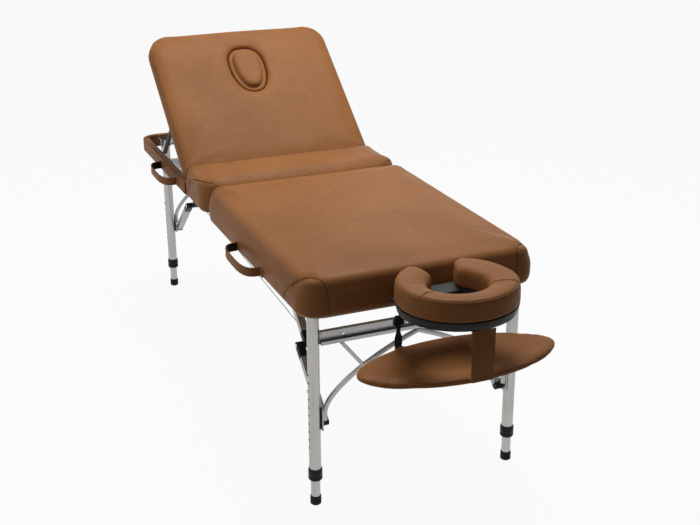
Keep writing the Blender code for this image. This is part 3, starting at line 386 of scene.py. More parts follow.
def hideFinish(name, dark, light, gloss=0.44, grain=1.0):  # grained upholstery hide
    made = Finish(name, light, gloss, specular=hideGrain["sheen"])
    cloud = made.noise(hideGrain["cloud"], 4.0)
    pores = made.cells(hideGrain["pore"])
    fine = made.noise(hideGrain["fine"], 2.0)
    creases = made.noise(hideGrain["crease"], 5.0, rough=0.62)
    made.color(made.tint(made.mixed(cloud, 0.8, fine, 0.2), dark, light, 0.34, 0.62))
    made.rough(made.ranged(creases, gloss - 0.06, gloss + 0.08))
    height = made.plus(made.times(pores, 0.55), made.mixed(fine, 0.35, creases, 0.8))
    made.bump(height, hideGrain["relief"] * grain, hideGrain["depth"])
    return made.look


def metalFinish(name, dark, light, gloss, stretch, metallic=1.0):  # drawn metal, lines along one way
    made = Finish(name, light, gloss, metallic, 0.5 if metallic else 0.18)  # no metal under a black coat
    lines = made.noise(1.0, 3.0, made.stretched(stretch))
    smears = made.noise(9.0, 3.0)
    made.color(made.tint(made.mixed(lines, 0.55, smears, 0.45), dark, light))
    made.rough(made.ranged(made.mixed(lines, 0.6, smears, 0.4), gloss - 0.06, gloss + 0.10))
    made.bump(lines, 0.05, 0.0004)
    return made.look


def mouldedFinish(name, color, gloss, scale=420.0):  # moulded plastic or rubber with a fine texture
    made = Finish(name, color, gloss, specular=0.16)
    fine = made.noise(scale, 2.0)
    dust = made.noise(14.0, 4.0)
    made.color(made.tint(dust, color, [min(1.0, c * 1.9 + 0.006) for c in color]))
    made.rough(made.ranged(dust, gloss - 0.06, gloss + 0.10))
    made.bump(fine, 0.18, 0.0005)
    return made.look


def plyFinish(name):  # birch plywood, grain along the table
    made = Finish(name, (0.52, 0.36, 0.20), 0.5)
    grain = made.noise(1.0, 5.0, made.stretched((60.0, 3.0, 60.0)), 0.6)
    fibre = made.noise(1.0, 2.0, made.stretched((500.0, 20.0, 500.0)))
    made.color(made.tint(made.mixed(grain, 0.75, fibre, 0.25), (0.36, 0.22, 0.11), (0.60, 0.43, 0.26)))
    made.rough(made.ranged(grain, 0.42, 0.58))
    made.bump(fibre, 0.10, 0.0005)
    return made.look


def webFinish(name, color, along):  # woven tape, ribs across its length
    made = Finish(name, color, 0.78, specular=0.25)
    ribs = {"Vector": made.place, "Scale": 260.0, "Distortion": 0.6, "Detail": 1.0}
    rib = made.node("ShaderNodeTexWave", ribs, wave_type="BANDS", bands_direction=along).outputs["Fac"]
    fluff = made.noise(900.0, 2.0)
    dark = [c * 0.5 for c in color]
    light = [c * 1.8 + 0.004 for c in color]
    made.color(made.tint(made.mixed(rib, 0.6, fluff, 0.4), dark, light))
    made.rough(made.ranged(fluff, 0.72, 0.88))
    made.bump(rib, 0.5, 0.0005)
    return made.look


hide = hideFinish("brownHide", (0.235, 0.094, 0.030), (0.285, 0.118, 0.040))
# near-black copy of the brown hide for the seam cords: painted shade in the seam creases
seamShadeHide = hideFinish("paintedSeamShade", (0.085, 0.033, 0.011), (0.130, 0.054, 0.019), 0.5)
# darker copy of the brown hide: painted shade for the frame wrap, straps, handles, tabs, pleats and plug
# ledge; its rougher grain is real
hideShaded = hideFinish("shadedHide", (0.200, 0.083, 0.029), (0.255, 0.108, 0.040), 0.5, 1.3)
lining = hideFinish("blackLining", (0.008, 0.007, 0.006), (0.018, 0.016, 0.014), 0.62)
thread = webFinish("tanThread", (0.250, 0.130, 0.056), "X")
tubeMetal = metalFinish("drawnAluminium", (0.35, 0.345, 0.33), (0.50, 0.49, 0.47), 0.30, (240, 240, 7))
railMetal = metalFinish("railAluminium", (0.30, 0.30, 0.295), (0.46, 0.455, 0.45), 0.36, (7, 240, 240))
linkMetal = metalFinish("linkAluminium", (0.30, 0.30, 0.30), (0.46, 0.46, 0.455), 0.36, (240, 18, 18))
plateSteel = metalFinish("zincSteel", (0.38, 0.38, 0.39), (0.58, 0.58, 0.59), 0.38, (60, 60, 60))
boltSteel = metalFinish("boltSteel", (0.50, 0.50, 0.50), (0.78, 0.78, 0.78), 0.24, (90, 90, 90))
blackSteel = metalFinish("blackSteel", (0.006, 0.006, 0.007), (0.014, 0.014, 0.015), 0.42, (50, 50, 50), 0.0)
blackPlastic = mouldedFinish("blackPlastic", (0.009, 0.009, 0.010), 0.42)
blackRubber = mouldedFinish("blackRubber", (0.008, 0.008, 0.008), 0.6, 240.0)
plywood = plyFinish("birchPly")
blackWeb = webFinish("blackWebbing", (0.014, 0.014, 0.015), "Z")
print("finishes made:", len(bpy.data.materials))

studio = {"spot": (-1.277, -3.459, 1.820), "yaw": 22.61, "pitch": 21.47, "roll": -0.27, "lens": 58.5,
          "ambient": 0.11, "floorGlow": 0.94, "backdrop": 0.955, "floorGrey": (0.66, 0.66, 0.66),
          "lamps": (("topBox", (0.5, 0.3, 3.1), 1.5, 72.0), ("sideBox", (-2.7, 0.2, 1.9), 1.8, 24.0)),
          "aim": (0, 0, 0.6), "floorSize": 60.0}


def setCamera(spec):  # the photograph's own viewpoint
    pickNone()
    bpy.ops.object.camera_add(location=at(*spec["spot"]))
    camera = bpy.context.object
    turn = Matrix.Rotation(math.radians(-spec["yaw"]), 3, "Z")
    turn = turn @ Matrix.Rotation(math.radians(90 - spec["pitch"]), 3, "X")
    turn = turn @ Matrix.Rotation(math.radians(spec["roll"]), 3, "Z")
    camera.rotation_euler = turn.to_euler()
    camera.data.lens = spec["lens"]
    camera.data.sensor_width = 36.0
    scene.camera = camera


def seenDirectly(tree):  # 1 for camera, glossy and transmission rays
    path = tree.nodes.new("ShaderNodeLightPath")
    best = path.outputs["Is Camera Ray"]
    for name in ("Is Glossy Ray", "Is Transmission Ray"):
        either = tree.nodes.new("ShaderNodeMath")
        either.operation = "MAXIMUM"
        tree.links.new(best, either.inputs[0])
        tree.links.new(path.outputs[name], either.inputs[1])
        best = either.outputs[0]
    return best


def setLight(spec):
    world = bpy.data.worlds.new("studio")
    world.use_nodes = True
    scene.world = world
    tree = world.node_tree
    soft = tree.nodes["Background"]
    soft.inputs["Color"].default_value = (1.0, 1.0, 1.0, 1.0)
    soft.inputs["Strength"].default_value = spec["ambient"]
    white = tree.nodes.new("ShaderNodeBackground")
    white.inputs["Color"].default_value = (1.0, 1.0, 1.0, 1.0)
    white.inputs["Strength"].default_value = spec["backdrop"]
    blend = tree.nodes.new("ShaderNodeMixShader")
    tree.links.new(seenDirectly(tree), blend.inputs["Fac"])
    tree.links.new(soft.outputs["Background"], blend.inputs[1])
    tree.links.new(white.outputs["Background"], blend.inputs[2])
    tree.links.new(blend.outputs["Shader"], tree.nodes["World Output"].inputs["Surface"])
    for name, spot, size, watts in spec["lamps"]:
        pickNone()
        bpy.ops.object.light_add(type="AREA", location=at(*spot))
        lamp = bpy.context.object
        lamp.name = name
        lamp.data.size = size
        lamp.data.energy = watts
        lamp.rotation_euler = (at(*spec["aim"]) - lamp.location).to_track_quat("-Z", "Y").to_euler()


def setFloor(spec):
    pickNone()
    bpy.ops.mesh.primitive_plane_add(size=spec["floorSize"], location=(0, 0, 0))
    floor = bpy.context.object
    floor.name = "floor"
    made = Finish("paleFloor", spec["floorGrey"], 0.9, specular=0.0)
    tree = made.tree
    glow = tree.nodes.new("ShaderNodeEmission")
    glow.inputs["Color"].default_value = (1.0, 1.0, 1.0, 1.0)
    glow.inputs["Strength"].default_value = 1.0
    blend = tree.nodes.new("ShaderNodeMixShader")
    share = made.times(seenDirectly(tree), spec["floorGlow"])
    tree.links.new(share, blend.inputs["Fac"])
    tree.links.new(made.shader.outputs["BSDF"], blend.inputs[1])
    tree.links.new(glow.outputs["Emission"], blend.inputs[2])
    tree.links.new(blend.outputs["Shader"], tree.nodes["Material Output"].inputs["Surface"])
    floor.data.materials.append(made.look)


scene.view_settings.view_transform = "Standard"
setCamera(studio)
setLight(studio)
setFloor(studio)
print("camera, light and floor set")


clothSpec = {"quality": 4, "mass": 0.3, "tension_stiffness": 22.0, "compression_stiffness": 22.0,
             "shear_stiffness": 10.0, "bending_stiffness": 0.6, "use_pressure": True}
clothFrames = 20


def stuff(pad, spec, held):  # swells a shape with air pressure; held gives 1 where the cover is fixed
    bake(pad, "REMESH", mode="VOXEL", voxel_size=spec["voxel"])
    bake(pad, "SMOOTH", factor=0.5, iterations=spec["smooth"])
    pinned = pad.vertex_groups.new(name="held")
    free = pad.vertex_groups.new(name="free")
    for point in pad.data.vertices:
        share = held(point.co)
        pinned.add([point.index], share, "REPLACE")
        free.add([point.index], 1.0 - share, "REPLACE")
    bake(pad, "DISPLACE", strength=-spec["shrink"], mid_level=0.0, vertex_group="free")
    before = [point.co.copy() for point in pad.data.vertices]
    puff = pad.modifiers.new("puff", "CLOTH")
    cloth = puff.settings
    for key, value in clothSpec.items():
        setattr(cloth, key, value)
    cloth.uniform_pressure_force = spec["pressure"]
    cloth.vertex_group_mass = "held"
    cloth.effector_weights.gravity = 0.0
    puff.collision_settings.use_collision = False
    puff.point_cache.frame_start = 1
    puff.point_cache.frame_end = clothFrames
    for step in range(1, clothFrames + 1):
        scene.frame_set(step)
    pickOnly(pad)
    bpy.ops.object.modifier_apply(modifier="puff")
    scene.frame_set(1)
    for point, old in zip(pad.data.vertices, before):
        moved = point.co - old
        if moved.length > spec["cap"]:
            point.co = old + moved * (spec["cap"] / moved.length)
    pad.vertex_groups.clear()
    bake(pad, "SMOOTH", factor=0.5, iterations=spec["ease"])
    bake(pad, "SUBSURF", levels=1, render_levels=1)
    return pad


def ramp(value, low, high):  # 0 at low, 1 at high
    return min(1.0, max(0.0, (value - low) / (high - low)))


def pressed(pad, lines, depth, width):  # presses a sewn line into a pad, with finer faces along it
    skin = skinOf(pad)
    spots = [spot for line in lines for spot in laidOn(skin, evenly(line, width * 0.5))]
    sewn = KDTree(len(spots))
    for index, spot in enumerate(spots):
        sewn.insert(spot, index)
    sewn.balance()
    selectPoints(pad, lambda co: sewn.find(co)[2] < width * 1.6)
    bpy.ops.mesh.select_mode(type="FACE")
    bpy.ops.mesh.subdivide(number_cuts=1)
    editing(False)
    ways = [point.normal.copy() for point in pad.data.vertices]
    for point, way in zip(pad.data.vertices, ways):
        gap = sewn.find(point.co)[2]
        if gap < width:
            point.co -= way * depth * (0.5 + 0.5 * math.cos(math.pi * gap / width))


frontPad = {"voxel": 0.008, "smooth": 7, "shrink": 0.003, "pressure": 3.5, "cap": 0.006, "ease": 8,
            "halfWidth": 0.355, "end": -0.925, "seam": -0.0015, "bottom": 0.592, "top": 0.706,
            "corner": 0.065, "farCorner": 0.065, "wall": 0.006, "ceiling": 0.6466, "roll": 0.034,
            "skirt": (0.640, 0.672), "seamHold": 0.9, "seamWidth": 0.006, "pocketDrop": 0.03,
            "cornerSteps": 8, "rollSteps": 7,
            "rodX": 0.09, "rodZ": 0.615, "rodRun": (-0.96, -0.90), "rodHole": 0.0066}


def tablePad(name, spec):  # slab with rounded plan, rolled top edge, swollen, with the frame's pocket below
    low, high = sorted((spec["end"], spec["seam"]))
    half = spec["halfWidth"]
    steps = spec["cornerSteps"]
    pad = block(name, at(-half, low, spec["bottom"]), at(half, high, spec["top"]))
    seamSide = at(0, spec["seam"], 0).y
    endSide = at(0, spec["end"], 0).y
    roundEdges(pad, lambda a, b: upright(a, b) and abs(a.y - seamSide) < samePlace, spec["corner"], steps)
    roundEdges(pad, lambda a, b: upright(a, b) and abs(a.x - seam.x) > half - samePlace
               and abs(a.y - endSide) < samePlace, spec["farCorner"], steps)
    roundEdges(pad, lambda a, b: min(a.z, b.z) > spec["top"] - samePlace / 2,
               spec["roll"], spec["rollSteps"])

    def held(co):  # the cover is fixed down its skirt, and nearly so at the fold line
        skirt = 1.0 - ramp(co.z, *spec["skirt"])
        atSeam = 1.0 - ramp(abs(co.y - seamSide), 0.0, spec["seamWidth"])
        return max(skirt, spec["seamHold"] * atSeam)

    stuff(pad, spec, held)
    wall = spec["wall"]
    pocketLow = at(-half + wall, low + wall, spec["bottom"] - spec["pocketDrop"])
    pocket = block("pocket", pocketLow, at(half - wall, high - wall, spec["ceiling"]))
    for side, corner in ((seamSide, spec["corner"]), (endSide, spec["farCorner"])):
        roundEdges(pocket, lambda a, b: upright(a, b) and abs(a.y - side) < wall + samePlace,
                   corner - wall, steps)
    cut(pad, pocket)
    return pad


def bothSides(lines, placed):  # each line rounded off, on one side and mirrored on the other
    return [rounded([placed(sign * x, y, z) for x, y, z in line]) for line in lines for sign in (1, -1)]


seamDip = {"depth": 0.0016, "width": 0.006}
cornerDip = {"depth": 0.0035, "width": 0.024, "skip": 40}
frontCushion = tablePad("frontCushion", frontPad)
for x in (-frontPad["rodX"], frontPad["rodX"]):  # way through for the cradle's rods
    boreEnds = [at(x, y, frontPad["rodZ"]) for y in frontPad["rodRun"]]
    cut(frontCushion, bar("bore", *boreEnds, frontPad["rodHole"]))
cornerPanel = [
    (-0.355, -0.772, 0.594), (-0.356, -0.780, 0.615), (-0.356, -0.806, 0.645), (-0.353, -0.845, 0.678),
    (-0.338, -0.868, 0.695), (-0.317, -0.878, 0.698), (-0.300, -0.897, 0.696), (-0.289, -0.915, 0.684),
    (-0.284, -0.926, 0.660), (-0.281, -0.926, 0.630), (-0.279, -0.926, 0.594)]
cornerDart = [(-0.306, -0.070, 0.706), (-0.325, -0.062, 0.702), (-0.345, -0.060, 0.684)]
frontSeams = bothSides((cornerPanel, cornerDart), at)
skip = cornerDip["skip"]
aboveCorner = [evenly(line, sewing["rowPitch"])[skip:-skip] for line in frontSeams[:2]]
pressed(frontCushion, aboveCorner, cornerDip["depth"], cornerDip["width"])
pressed(frontCushion, frontSeams, seamDip["depth"], seamDip["width"])
settle(frontCushion, "front_half", hide, "brown_leather", "front_cushion")
sewOn(frontCushion, "frontCushion", "front_half", frontSeams)

seatPad = dict(frontPad, end=0.2465, seam=0.0015, farCorner=0.022, voxel=0.007,
               slot=((-0.349, 0.18, 0.56), (0.349, 0.27, 0.6371)))
seatCushion = tablePad("seatCushion", seatPad)
cut(seatCushion, block("slot", *(at(*corner) for corner in seatPad["slot"])))
endPanel = [(-0.355, 0.206, 0.594), (-0.356, 0.200, 0.620), (-0.356, 0.182, 0.652), (-0.354, 0.140, 0.681),
            (-0.350, 0.085, 0.694), (-0.341, 0.045, 0.697), (-0.318, 0.018, 0.694)]
seatSeams = bothSides((endPanel,), at)
pressed(seatCushion, seatSeams, seamDip["depth"], seamDip["width"])
settle(seatCushion, "back_half", hide, "brown_leather", "seat_cushion")
sewOn(seatCushion, "seatCushion", "back_half", seatSeams)

coverSpec = {"spare": ((-0.4, -0.05, 0.55), (0.4, 0.2470, 0.68)), "edge": 0.0015}
frameWrap = solidOf("back_frame_cover", "frameWrap")
cut(frameWrap, block("spare", *(at(*corner) for corner in coverSpec["spare"])))
easeEdges(frameWrap, coverSpec["edge"], 3)
# the wrapped frame side takes the darker copy of the hide: painted shade
settle(frameWrap, "back_half", hideShaded, "brown_leather", "back_frame_cover")
print("table cushions stuffed")

backPanel = {"halfWidth": 0.350, "nose": -0.031, "head": 0.605, "half": 0.031, "tilt": 38.0,
             "voxel": 0.008, "smooth": 4, "shrink": 0.001, "pressure": 3.0, "cap": 0.004, "ease": 8,
             "corner": 0.085, "noseCorner": 0.020, "roll": 0.018, "noseRoll": 0.019,
             "holeY": 0.406, "holeHalf": (0.068, 0.106), "holeSwell": 0.14, "holeRound": 0.82,
             "holeFloor": -0.0215, "holeHold": (1.10, 1.32), "edgeHold": (-0.018, 0.008),
             "boardTop": -0.0217, "boardHalf": 0.3405, "boardFoot": 0.0177, "boardHead": 0.5955,
             "boardCorner": 0.075, "boardFootCorner": 0.030,
             "hingeX": 0.240, "hingeHalf": 0.0078, "hingeTop": 0.0127,
             "dartDepth": 0.0009, "dartWidth": 0.005}
backAxis = Vector(joints["backrest_tilt"]["pos_m"])
leaned = Matrix.Translation(backAxis) @ Matrix.Rotation(math.radians(backPanel["tilt"]), 4, "X")


def eggPoint(spec, grow, swing):  # outline of the face hole, wider toward the head end
    halfWidth, halfLength = spec["holeHalf"]
    wide = 1.0 + spec["holeSwell"] * math.sin(swing)
    across = math.copysign(abs(math.cos(swing)) ** spec["holeRound"], math.cos(swing))
    along = math.copysign(abs(math.sin(swing)) ** spec["holeRound"], math.sin(swing))
    return (halfWidth * wide + grow) * across, spec["holeY"] + (halfLength + grow) * along


def eggPrism(name, spec, layers, count=64):  # grow and height pairs, stacked from the bottom
    pickNone()
    bpy.ops.mesh.primitive_circle_add(vertices=count, radius=1.0, fill_type="NGON")
    made = bpy.context.object
    made.name = name
    rings = []
    for grow, height in layers:
        if rings:
            editing(True)
            bpy.ops.mesh.extrude_region_move()
            editing(False)
        known = {index for ring in rings for index in ring}
        fresh = {}
        for point in made.data.vertices:
            if point.index in known:
                continue
            fresh[point.index] = math.atan2(point.co.y, point.co.x) if not rings else min(
                rings[-1].items(), key=lambda item: (made.data.vertices[item[0]].co - point.co).length)[1]
        outline = {index: eggPoint(spec, grow, swing) for index, swing in fresh.items()}
        for index, (x, y) in outline.items():
            made.data.vertices[index].co = (x, y, height)
        rings.append(fresh)
    editing(True)
    bpy.ops.mesh.select_all(action="SELECT")
    bpy.ops.mesh.normals_make_consistent(inside=False)
    editing(False)
    return made


def lean(piece):  # from the panel's own flat frame to its place on the table
    piece.data.transform(leaned)
    return piece


def backrestPad(spec):
    half, wide = spec["half"], spec["halfWidth"]
    pad = block("backrestCushion", (-wide, spec["nose"], -half), (wide, spec["head"], half))
    roundEdges(pad, lambda a, b: upright(a, b) and a.y > 0.5, spec["corner"], 9)
    roundEdges(pad, lambda a, b: upright(a, b) and a.y < 0.0, spec["noseCorner"], 4)
    roundEdges(pad, lambda a, b: min(a.z, b.z) > half - samePlace / 2, spec["roll"], 5)
    roundEdges(pad, lambda a, b: max(a.z, b.z) < samePlace / 2 - half and max(a.y, b.y) < 0.0,
               spec["noseRoll"], 5)
    cut(pad, eggPrism("faceCut", spec, [(0.0, spec["holeFloor"]), (0.0, 0.08)]))

    def held(co):  # the cover is fixed round the hole and along its lower edge
        halfWidth, halfLength = spec["holeHalf"]
        rim = Vector((co.x / (halfWidth * 1.1), (co.y - spec["holeY"]) / halfLength)).length
        atHole = 1.0 - ramp(rim, *spec["holeHold"])
        below = 1.0 - ramp(co.z, *spec["edgeHold"])
        return max(atHole, below)

    stuff(pad, spec, held)
    edge, foot = spec["boardHalf"], spec["boardFoot"]
    board = block("boardPocket", (-edge, foot, -0.06), (edge, spec["boardHead"], spec["boardTop"]))
    roundEdges(board, lambda a, b: upright(a, b) and a.y > 0.5, spec["boardCorner"], 9)
    roundEdges(board, lambda a, b: upright(a, b) and a.y < 0.1, spec["boardFootCorner"], 4)
    bottom = block("under", (-0.5, -0.2, -0.2), (0.5, 0.8, -half))
    slots = []
    for x in (-spec["hingeX"], spec["hingeX"]):  # room for the two hinge arms
        slotHalf = spec["hingeHalf"]
        slots.append(block("slot", (x - slotHalf, -0.08, -0.08), (x + slotHalf, foot, spec["hingeTop"])))
    opening = eggPrism("faceCut", spec, [(0.0, -0.05), (0.0, 0.08)])
    cut(pad, board, *slots, opening, bottom)
    return lean(pad)


backrestCushion = backrestPad(backPanel)
headDart = [(-0.292, 0.556, 0.040), (-0.310, 0.572, 0.036), (-0.328, 0.588, 0.018), (-0.333, 0.592, -0.020)]
footDart = [(-0.318, 0.004, 0.040), (-0.333, -0.010, 0.034), (-0.346, -0.024, 0.016),
            (-0.350, -0.028, -0.010)]
backSeams = bothSides((headDart, footDart), lambda x, y, z: leaned @ Vector((x, y, z)))
pressed(backrestCushion, backSeams, backPanel["dartDepth"], backPanel["dartWidth"])
settle(backrestCushion, "backrest", hide, "brown_leather", "backrest_cushion")
sewOn(backrestCushion, "backrest", "backrest", backSeams, 0.0, thread)

plugLayers = [(-0.0004, -0.0213), (-0.0004, 0.014), (-0.0035, 0.0205), (-0.009, 0.0235), (-0.015, 0.0228),
              (-0.018, 0.0250), (-0.0195, 0.0315), (-0.0235, 0.0372), (-0.031, 0.0400), (-0.042, 0.0410),
              (-0.053, 0.0412)]
ledgeSpec = {"outer": 0.013, "inner": -0.006, "bottom": -0.0240, "top": -0.0219}
facePlug = eggPrism("facePlug", backPanel, plugLayers)
bake(facePlug, "SUBSURF", levels=1, render_levels=1)
settle(lean(facePlug), "face_plug_body", hide, "brown_leather", "face_plug")
outer, inner = ledgeSpec["outer"], ledgeSpec["inner"]
plugLedge = eggPrism("plugLedge", backPanel, [(outer, ledgeSpec["bottom"]), (outer, ledgeSpec["top"])])
cut(plugLedge, eggPrism("bore", backPanel, [(inner, -0.05), (inner, 0.05)]))  # rim that bears the plug
settle(lean(plugLedge), "backrest", hideShaded, "brown_leather")
print("backrest and plug made")

cradlePad = {"voxel": 0.0045, "smooth": 3, "shrink": 0.002, "pressure": 4.0, "cap": 0.005, "ease": 4,
             "across": 0.122, "deep": 0.1105, "middle": -1.1035, "arm": 0.086, "hold": (0.004, 0.016),
             "slope": 0.011, "slopeFrom": 0.015, "slopeSpan": (-0.34, 0.36),
             "closing": 10.0, "armsFrom": 0.035, "merge": 0.006,
             "rim": (0.070, 0.930), "rimOut": -0.46, "rimDip": 0.0012, "rimRow": 0.006, "piping": 0.0016,
             "crossAt": (0.325, 0.665), "crossDip": 0.0014, "crossRow": 0.0035}
cradleLow, cradleHigh = (Vector(corner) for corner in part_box("cradle_cushion"))


def ringPlace(spec, station):  # centre of the padded ring and the way in, station 0 to 1 round from the gap
    def centre(share):
        swing = math.radians(-90 + 360 * (share - 0.5))
        return at(spec["across"] * math.cos(swing), spec["middle"] + spec["deep"] * math.sin(swing), 0.0)
    here = centre(station)
    along = (centre(station + 0.002) - here).normalized()
    return here, Vector((-along.y, along.x, 0.0))


def ringLine(spec, first, last, inward, height, count=60):
    line = []
    for step in range(count + 1):
        here, inside = ringPlace(spec, first + (last - first) * step / count)
        line.append(here + inside * spec["arm"] * inward + Vector((0, 0, height)))
    return line


cradleCushion = solidOf("cradle_cushion", "cradleCushion")
ringMiddle = at(0.0, cradlePad["middle"], 0.0)


def fromMiddle(co):  # distance from the ring's middle, 1 on the middle of its padding
    across = (co.x - ringMiddle.x) / cradlePad["across"]
    deep = (co.y - ringMiddle.y) / cradlePad["deep"]
    return Vector((across, deep)).length


armEnds = []
for sign in (-1, 1):  # the padding reaches a little past the platform's own arms
    armEnd = solidOf("cradle_cushion", "armEnd")
    armsFrom = cradlePad["middle"] + cradlePad["armsFrom"]
    cut(armEnd, block("spare", at(-0.3, -1.4, 0.5), at(0.3, armsFrom, 0.9)))
    turn = Matrix.Rotation(math.radians(sign * cradlePad["closing"]), 4, "Z")
    armEnd.data.transform(Matrix.Translation(ringMiddle) @ turn @ Matrix.Translation(-ringMiddle))
    armEnds.append(armEnd)
joined("cradleCushion", [cradleCushion, *armEnds])
bake(cradleCushion, "REMESH", mode="VOXEL", voxel_size=cradlePad["merge"])
for point in cradleCushion.data.vertices:  # the top falls away toward the face opening
    inward = ramp(1.0 - fromMiddle(point.co), *cradlePad["slopeSpan"])
    upper = ramp(point.co.z, cradleLow.z + cradlePad["slopeFrom"], cradleHigh.z)
    point.co.z -= cradlePad["slope"] * inward * upper
heldTo, freeFrom = (cradleLow.z + rise for rise in cradlePad["hold"])
stuff(cradleCushion, cradlePad, lambda co: 1.0 - ramp(co.z, heldTo, freeFrom))
cut(cradleCushion, block("under", at(-0.4, -1.5, cradleLow.z - 0.1), at(0.4, -0.8, cradleLow.z)))
cradleTop = cradleHigh.z - 0.004
rimLine = ringLine(cradlePad, *cradlePad["rim"], cradlePad["rimOut"], cradleTop - 0.006)
crossPath = [(cradlePad["rimOut"], -0.005), (-0.3, 0.004), (0.0, 0.004), (0.3, -0.004),
             (0.46, -0.020), (0.50, -0.045)]
crossLines = []
for station in cradlePad["crossAt"]:
    here, inside = ringPlace(cradlePad, station)
    crossing = []
    for share, rise in crossPath:
        crossing.append(here + inside * cradlePad["arm"] * share + Vector((0, 0, cradleTop + rise)))
    crossLines.append(evenly(crossing, sewing["seamPitch"]))
pressed(cradleCushion, crossLines, cradlePad["crossDip"], seamDip["width"])
pressed(cradleCushion, [rimLine], cradlePad["rimDip"], seamDip["width"])
settle(cradleCushion, "cradle_head", hide, "brown_leather", "cradle_cushion")
sewOn(cradleCushion, "cradleCross", "cradle_head", crossLines, cradlePad["crossRow"])
rimLaid = laidOn(skinOf(cradleCushion), evenly(rimLine, sewing["seamPitch"]), 0.0006)
settle(cords("cradlePiping", [rimLaid], cradlePad["piping"], 3), "cradle_head", hide, "brown_leather")
belowRim = [spot - Vector((0, 0, cradlePad["rimRow"])) for spot in rimLaid]
stitched("cradleStitches", "cradle_head", [laidOn(skinOf(cradleCushion), belowRim, sewing["rowLift"])])

platformSpec = {"drawIn": 0.965, "rear": -1.030}
cradlePlatform = solidOf("cradle_platform", "cradlePlatform")
rearLimit = at(0.0, platformSpec["rear"], 0.0).y


def outerFoot(co):  # lower edge of the platform's outer wall, forward of its pivot lugs
    return fromMiddle(co) > 1.0 and co.y < rearLimit and co.z < platformFoot + samePlace / 2


platformFoot = min(point.co.z for point in cradlePlatform.data.vertices if point.co.y < rearLimit)
selectPoints(cradlePlatform, outerFoot)
drawIn = platformSpec["drawIn"]
bpy.ops.transform.resize(value=(drawIn, drawIn, 1.0), center_override=ringMiddle)
editing(False)
easeEdges(cradlePlatform, 0.0012, 2, 40)
settle(cradlePlatform, "cradle_head", blackPlastic, "black_plastic", "cradle_platform")

slingPad = {"voxel": 0.005, "smooth": 3, "shrink": 0.001, "pressure": 3.0, "cap": 0.004, "ease": 4,
            "middle": -1.12, "held": (0.090, 0.118), "hollow": 0.010, "hollowHalf": (0.262, 0.100)}
armSling = solidOf("sling_pad", "armSling")
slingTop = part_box("sling_pad")[1][2]
slingMiddle = at(0.0, slingPad["middle"], 0.0)
stuff(armSling, slingPad, lambda co: ramp(abs(co.y - slingMiddle.y), *slingPad["held"]))
hollowX, hollowY = slingPad["hollowHalf"]
for point in armSling.data.vertices:  # resting hollow inside a rolled rim
    share = Vector(((point.co.x - slingMiddle.x) / hollowX, (point.co.y - slingMiddle.y) / hollowY)).length
    upper = ramp(point.co.z, slingTop - 0.016, slingTop)
    point.co.z -= slingPad["hollow"] * (1.0 - ramp(share, 0.45, 1.0)) * upper
settle(armSling, "arm_sling", hide, "brown_leather", "sling_pad")
strapSpec = {"rearX": 0.116, "waist": 0.52, "waistAt": 0.50, "waistSpan": 0.17, "waistEnd": 0.93,
             "cuts": 14, "edge": 0.0005, "sliderDrop": 0.027, "sliderHalf": 0.0150, "sliderTall": 0.017,
             "sliderY": (-1.0040, -0.9960), "sliderCorner": 0.003, "sliderEdge": 0.0006,
             "slotHalf": (0.0116, 0.0022), "slotsAt": (0.0045, 0.0125), "slotY": (-1.02, -0.98)}
tabTop = slingTop - 0.0001
tabShape = {"thick": 0.0115, "middle": 0.006, "taper": 0.45, "edge": 0.0012}
tabSpec = {  # middle, half width, strap end, thin end, finish and slot
    "slingFrontTab": (0.0, 0.0305, -1.2498, -1.2180, hideShaded, "brown_leather"),
    "slingLeftTab": (-strapSpec["rearX"], 0.0100, -0.9982, -1.0420, blackWeb, "black_webbing"),
    "slingRightTab": (strapSpec["rearX"], 0.0100, -0.9982, -1.0420, blackWeb, "black_webbing")}
for name, (x, half, strapEnd, thinEnd, look, slotName) in tabSpec.items():
    low, high = sorted((strapEnd, thinEnd))
    tab = block(name, at(x - half, low, tabTop - tabShape["thick"]), at(x + half, high, tabTop))
    selectPoints(tab, lambda co: abs(co.y - at(0, thinEnd, 0).y) < samePlace)
    thinMiddle = at(x, thinEnd, tabTop - tabShape["middle"])
    bpy.ops.transform.resize(value=(1.0, 1.0, tabShape["taper"]), center_override=thinMiddle)
    editing(False)
    bake(tab, "BEVEL", width=tabShape["edge"], segments=3)
    settle(tab, "arm_sling", look, slotName)
print("cradle cushion and sling made")


def band(name, path, height, thick):  # flat tape standing on edge along a path
    shape = bpy.data.curves.new(name, "CURVE")
    shape.dimensions = "3D"
    shape.twist_mode = "Z_UP"
    shape.extrude = height / 2
    spline = shape.splines.new("POLY")
    spline.points.add(len(path) - 1)
    for point, spot in zip(spline.points, path):
        point.co = (*spot, 1.0)
    made = bpy.data.objects.new(name, shape)
    scene.collection.objects.link(made)
    pickOnly(made)
    bpy.ops.object.convert(target="MESH")
    made = bpy.context.object
    bake(made, "SOLIDIFY", thickness=thick, offset=0.0)
    easeEdges(made, thick * 0.3, 2)
    return made


handleSpec = {"middle": 0.470, "halfSpan": 0.112, "reach": 0.0517, "root": -0.3553,
              "bottom": 0.596, "top": 0.623, "square": 0.6, "rows": 0.0095, "dash": (0.0055, 0.0036),
              "outer": (0.0014, 0.0026), "lining": (0.0039, 0.0022), "liningShort": 0.001,
              "tabHalf": 0.013, "tabAt": 0.007, "tabX": (-0.3572, -0.3546), "tabZ": (0.5965, 0.6225),
              "tabRow": (-0.35735, 0.6095)}


def handlePath(spec, side, inset, count=56):
    path = []
    for step in range(count + 1):
        swing = math.pi * step / count
        bulge = math.sin(swing) ** spec["square"]
        run = math.copysign(abs(math.cos(swing)) ** spec["square"], math.cos(swing))
        out = spec["root"] - (spec["reach"] - inset) * bulge
        along = side * spec["middle"] + (spec["halfSpan"] - inset) * run
        path.append(at(out, along, (spec["bottom"] + spec["top"]) / 2))
    return path


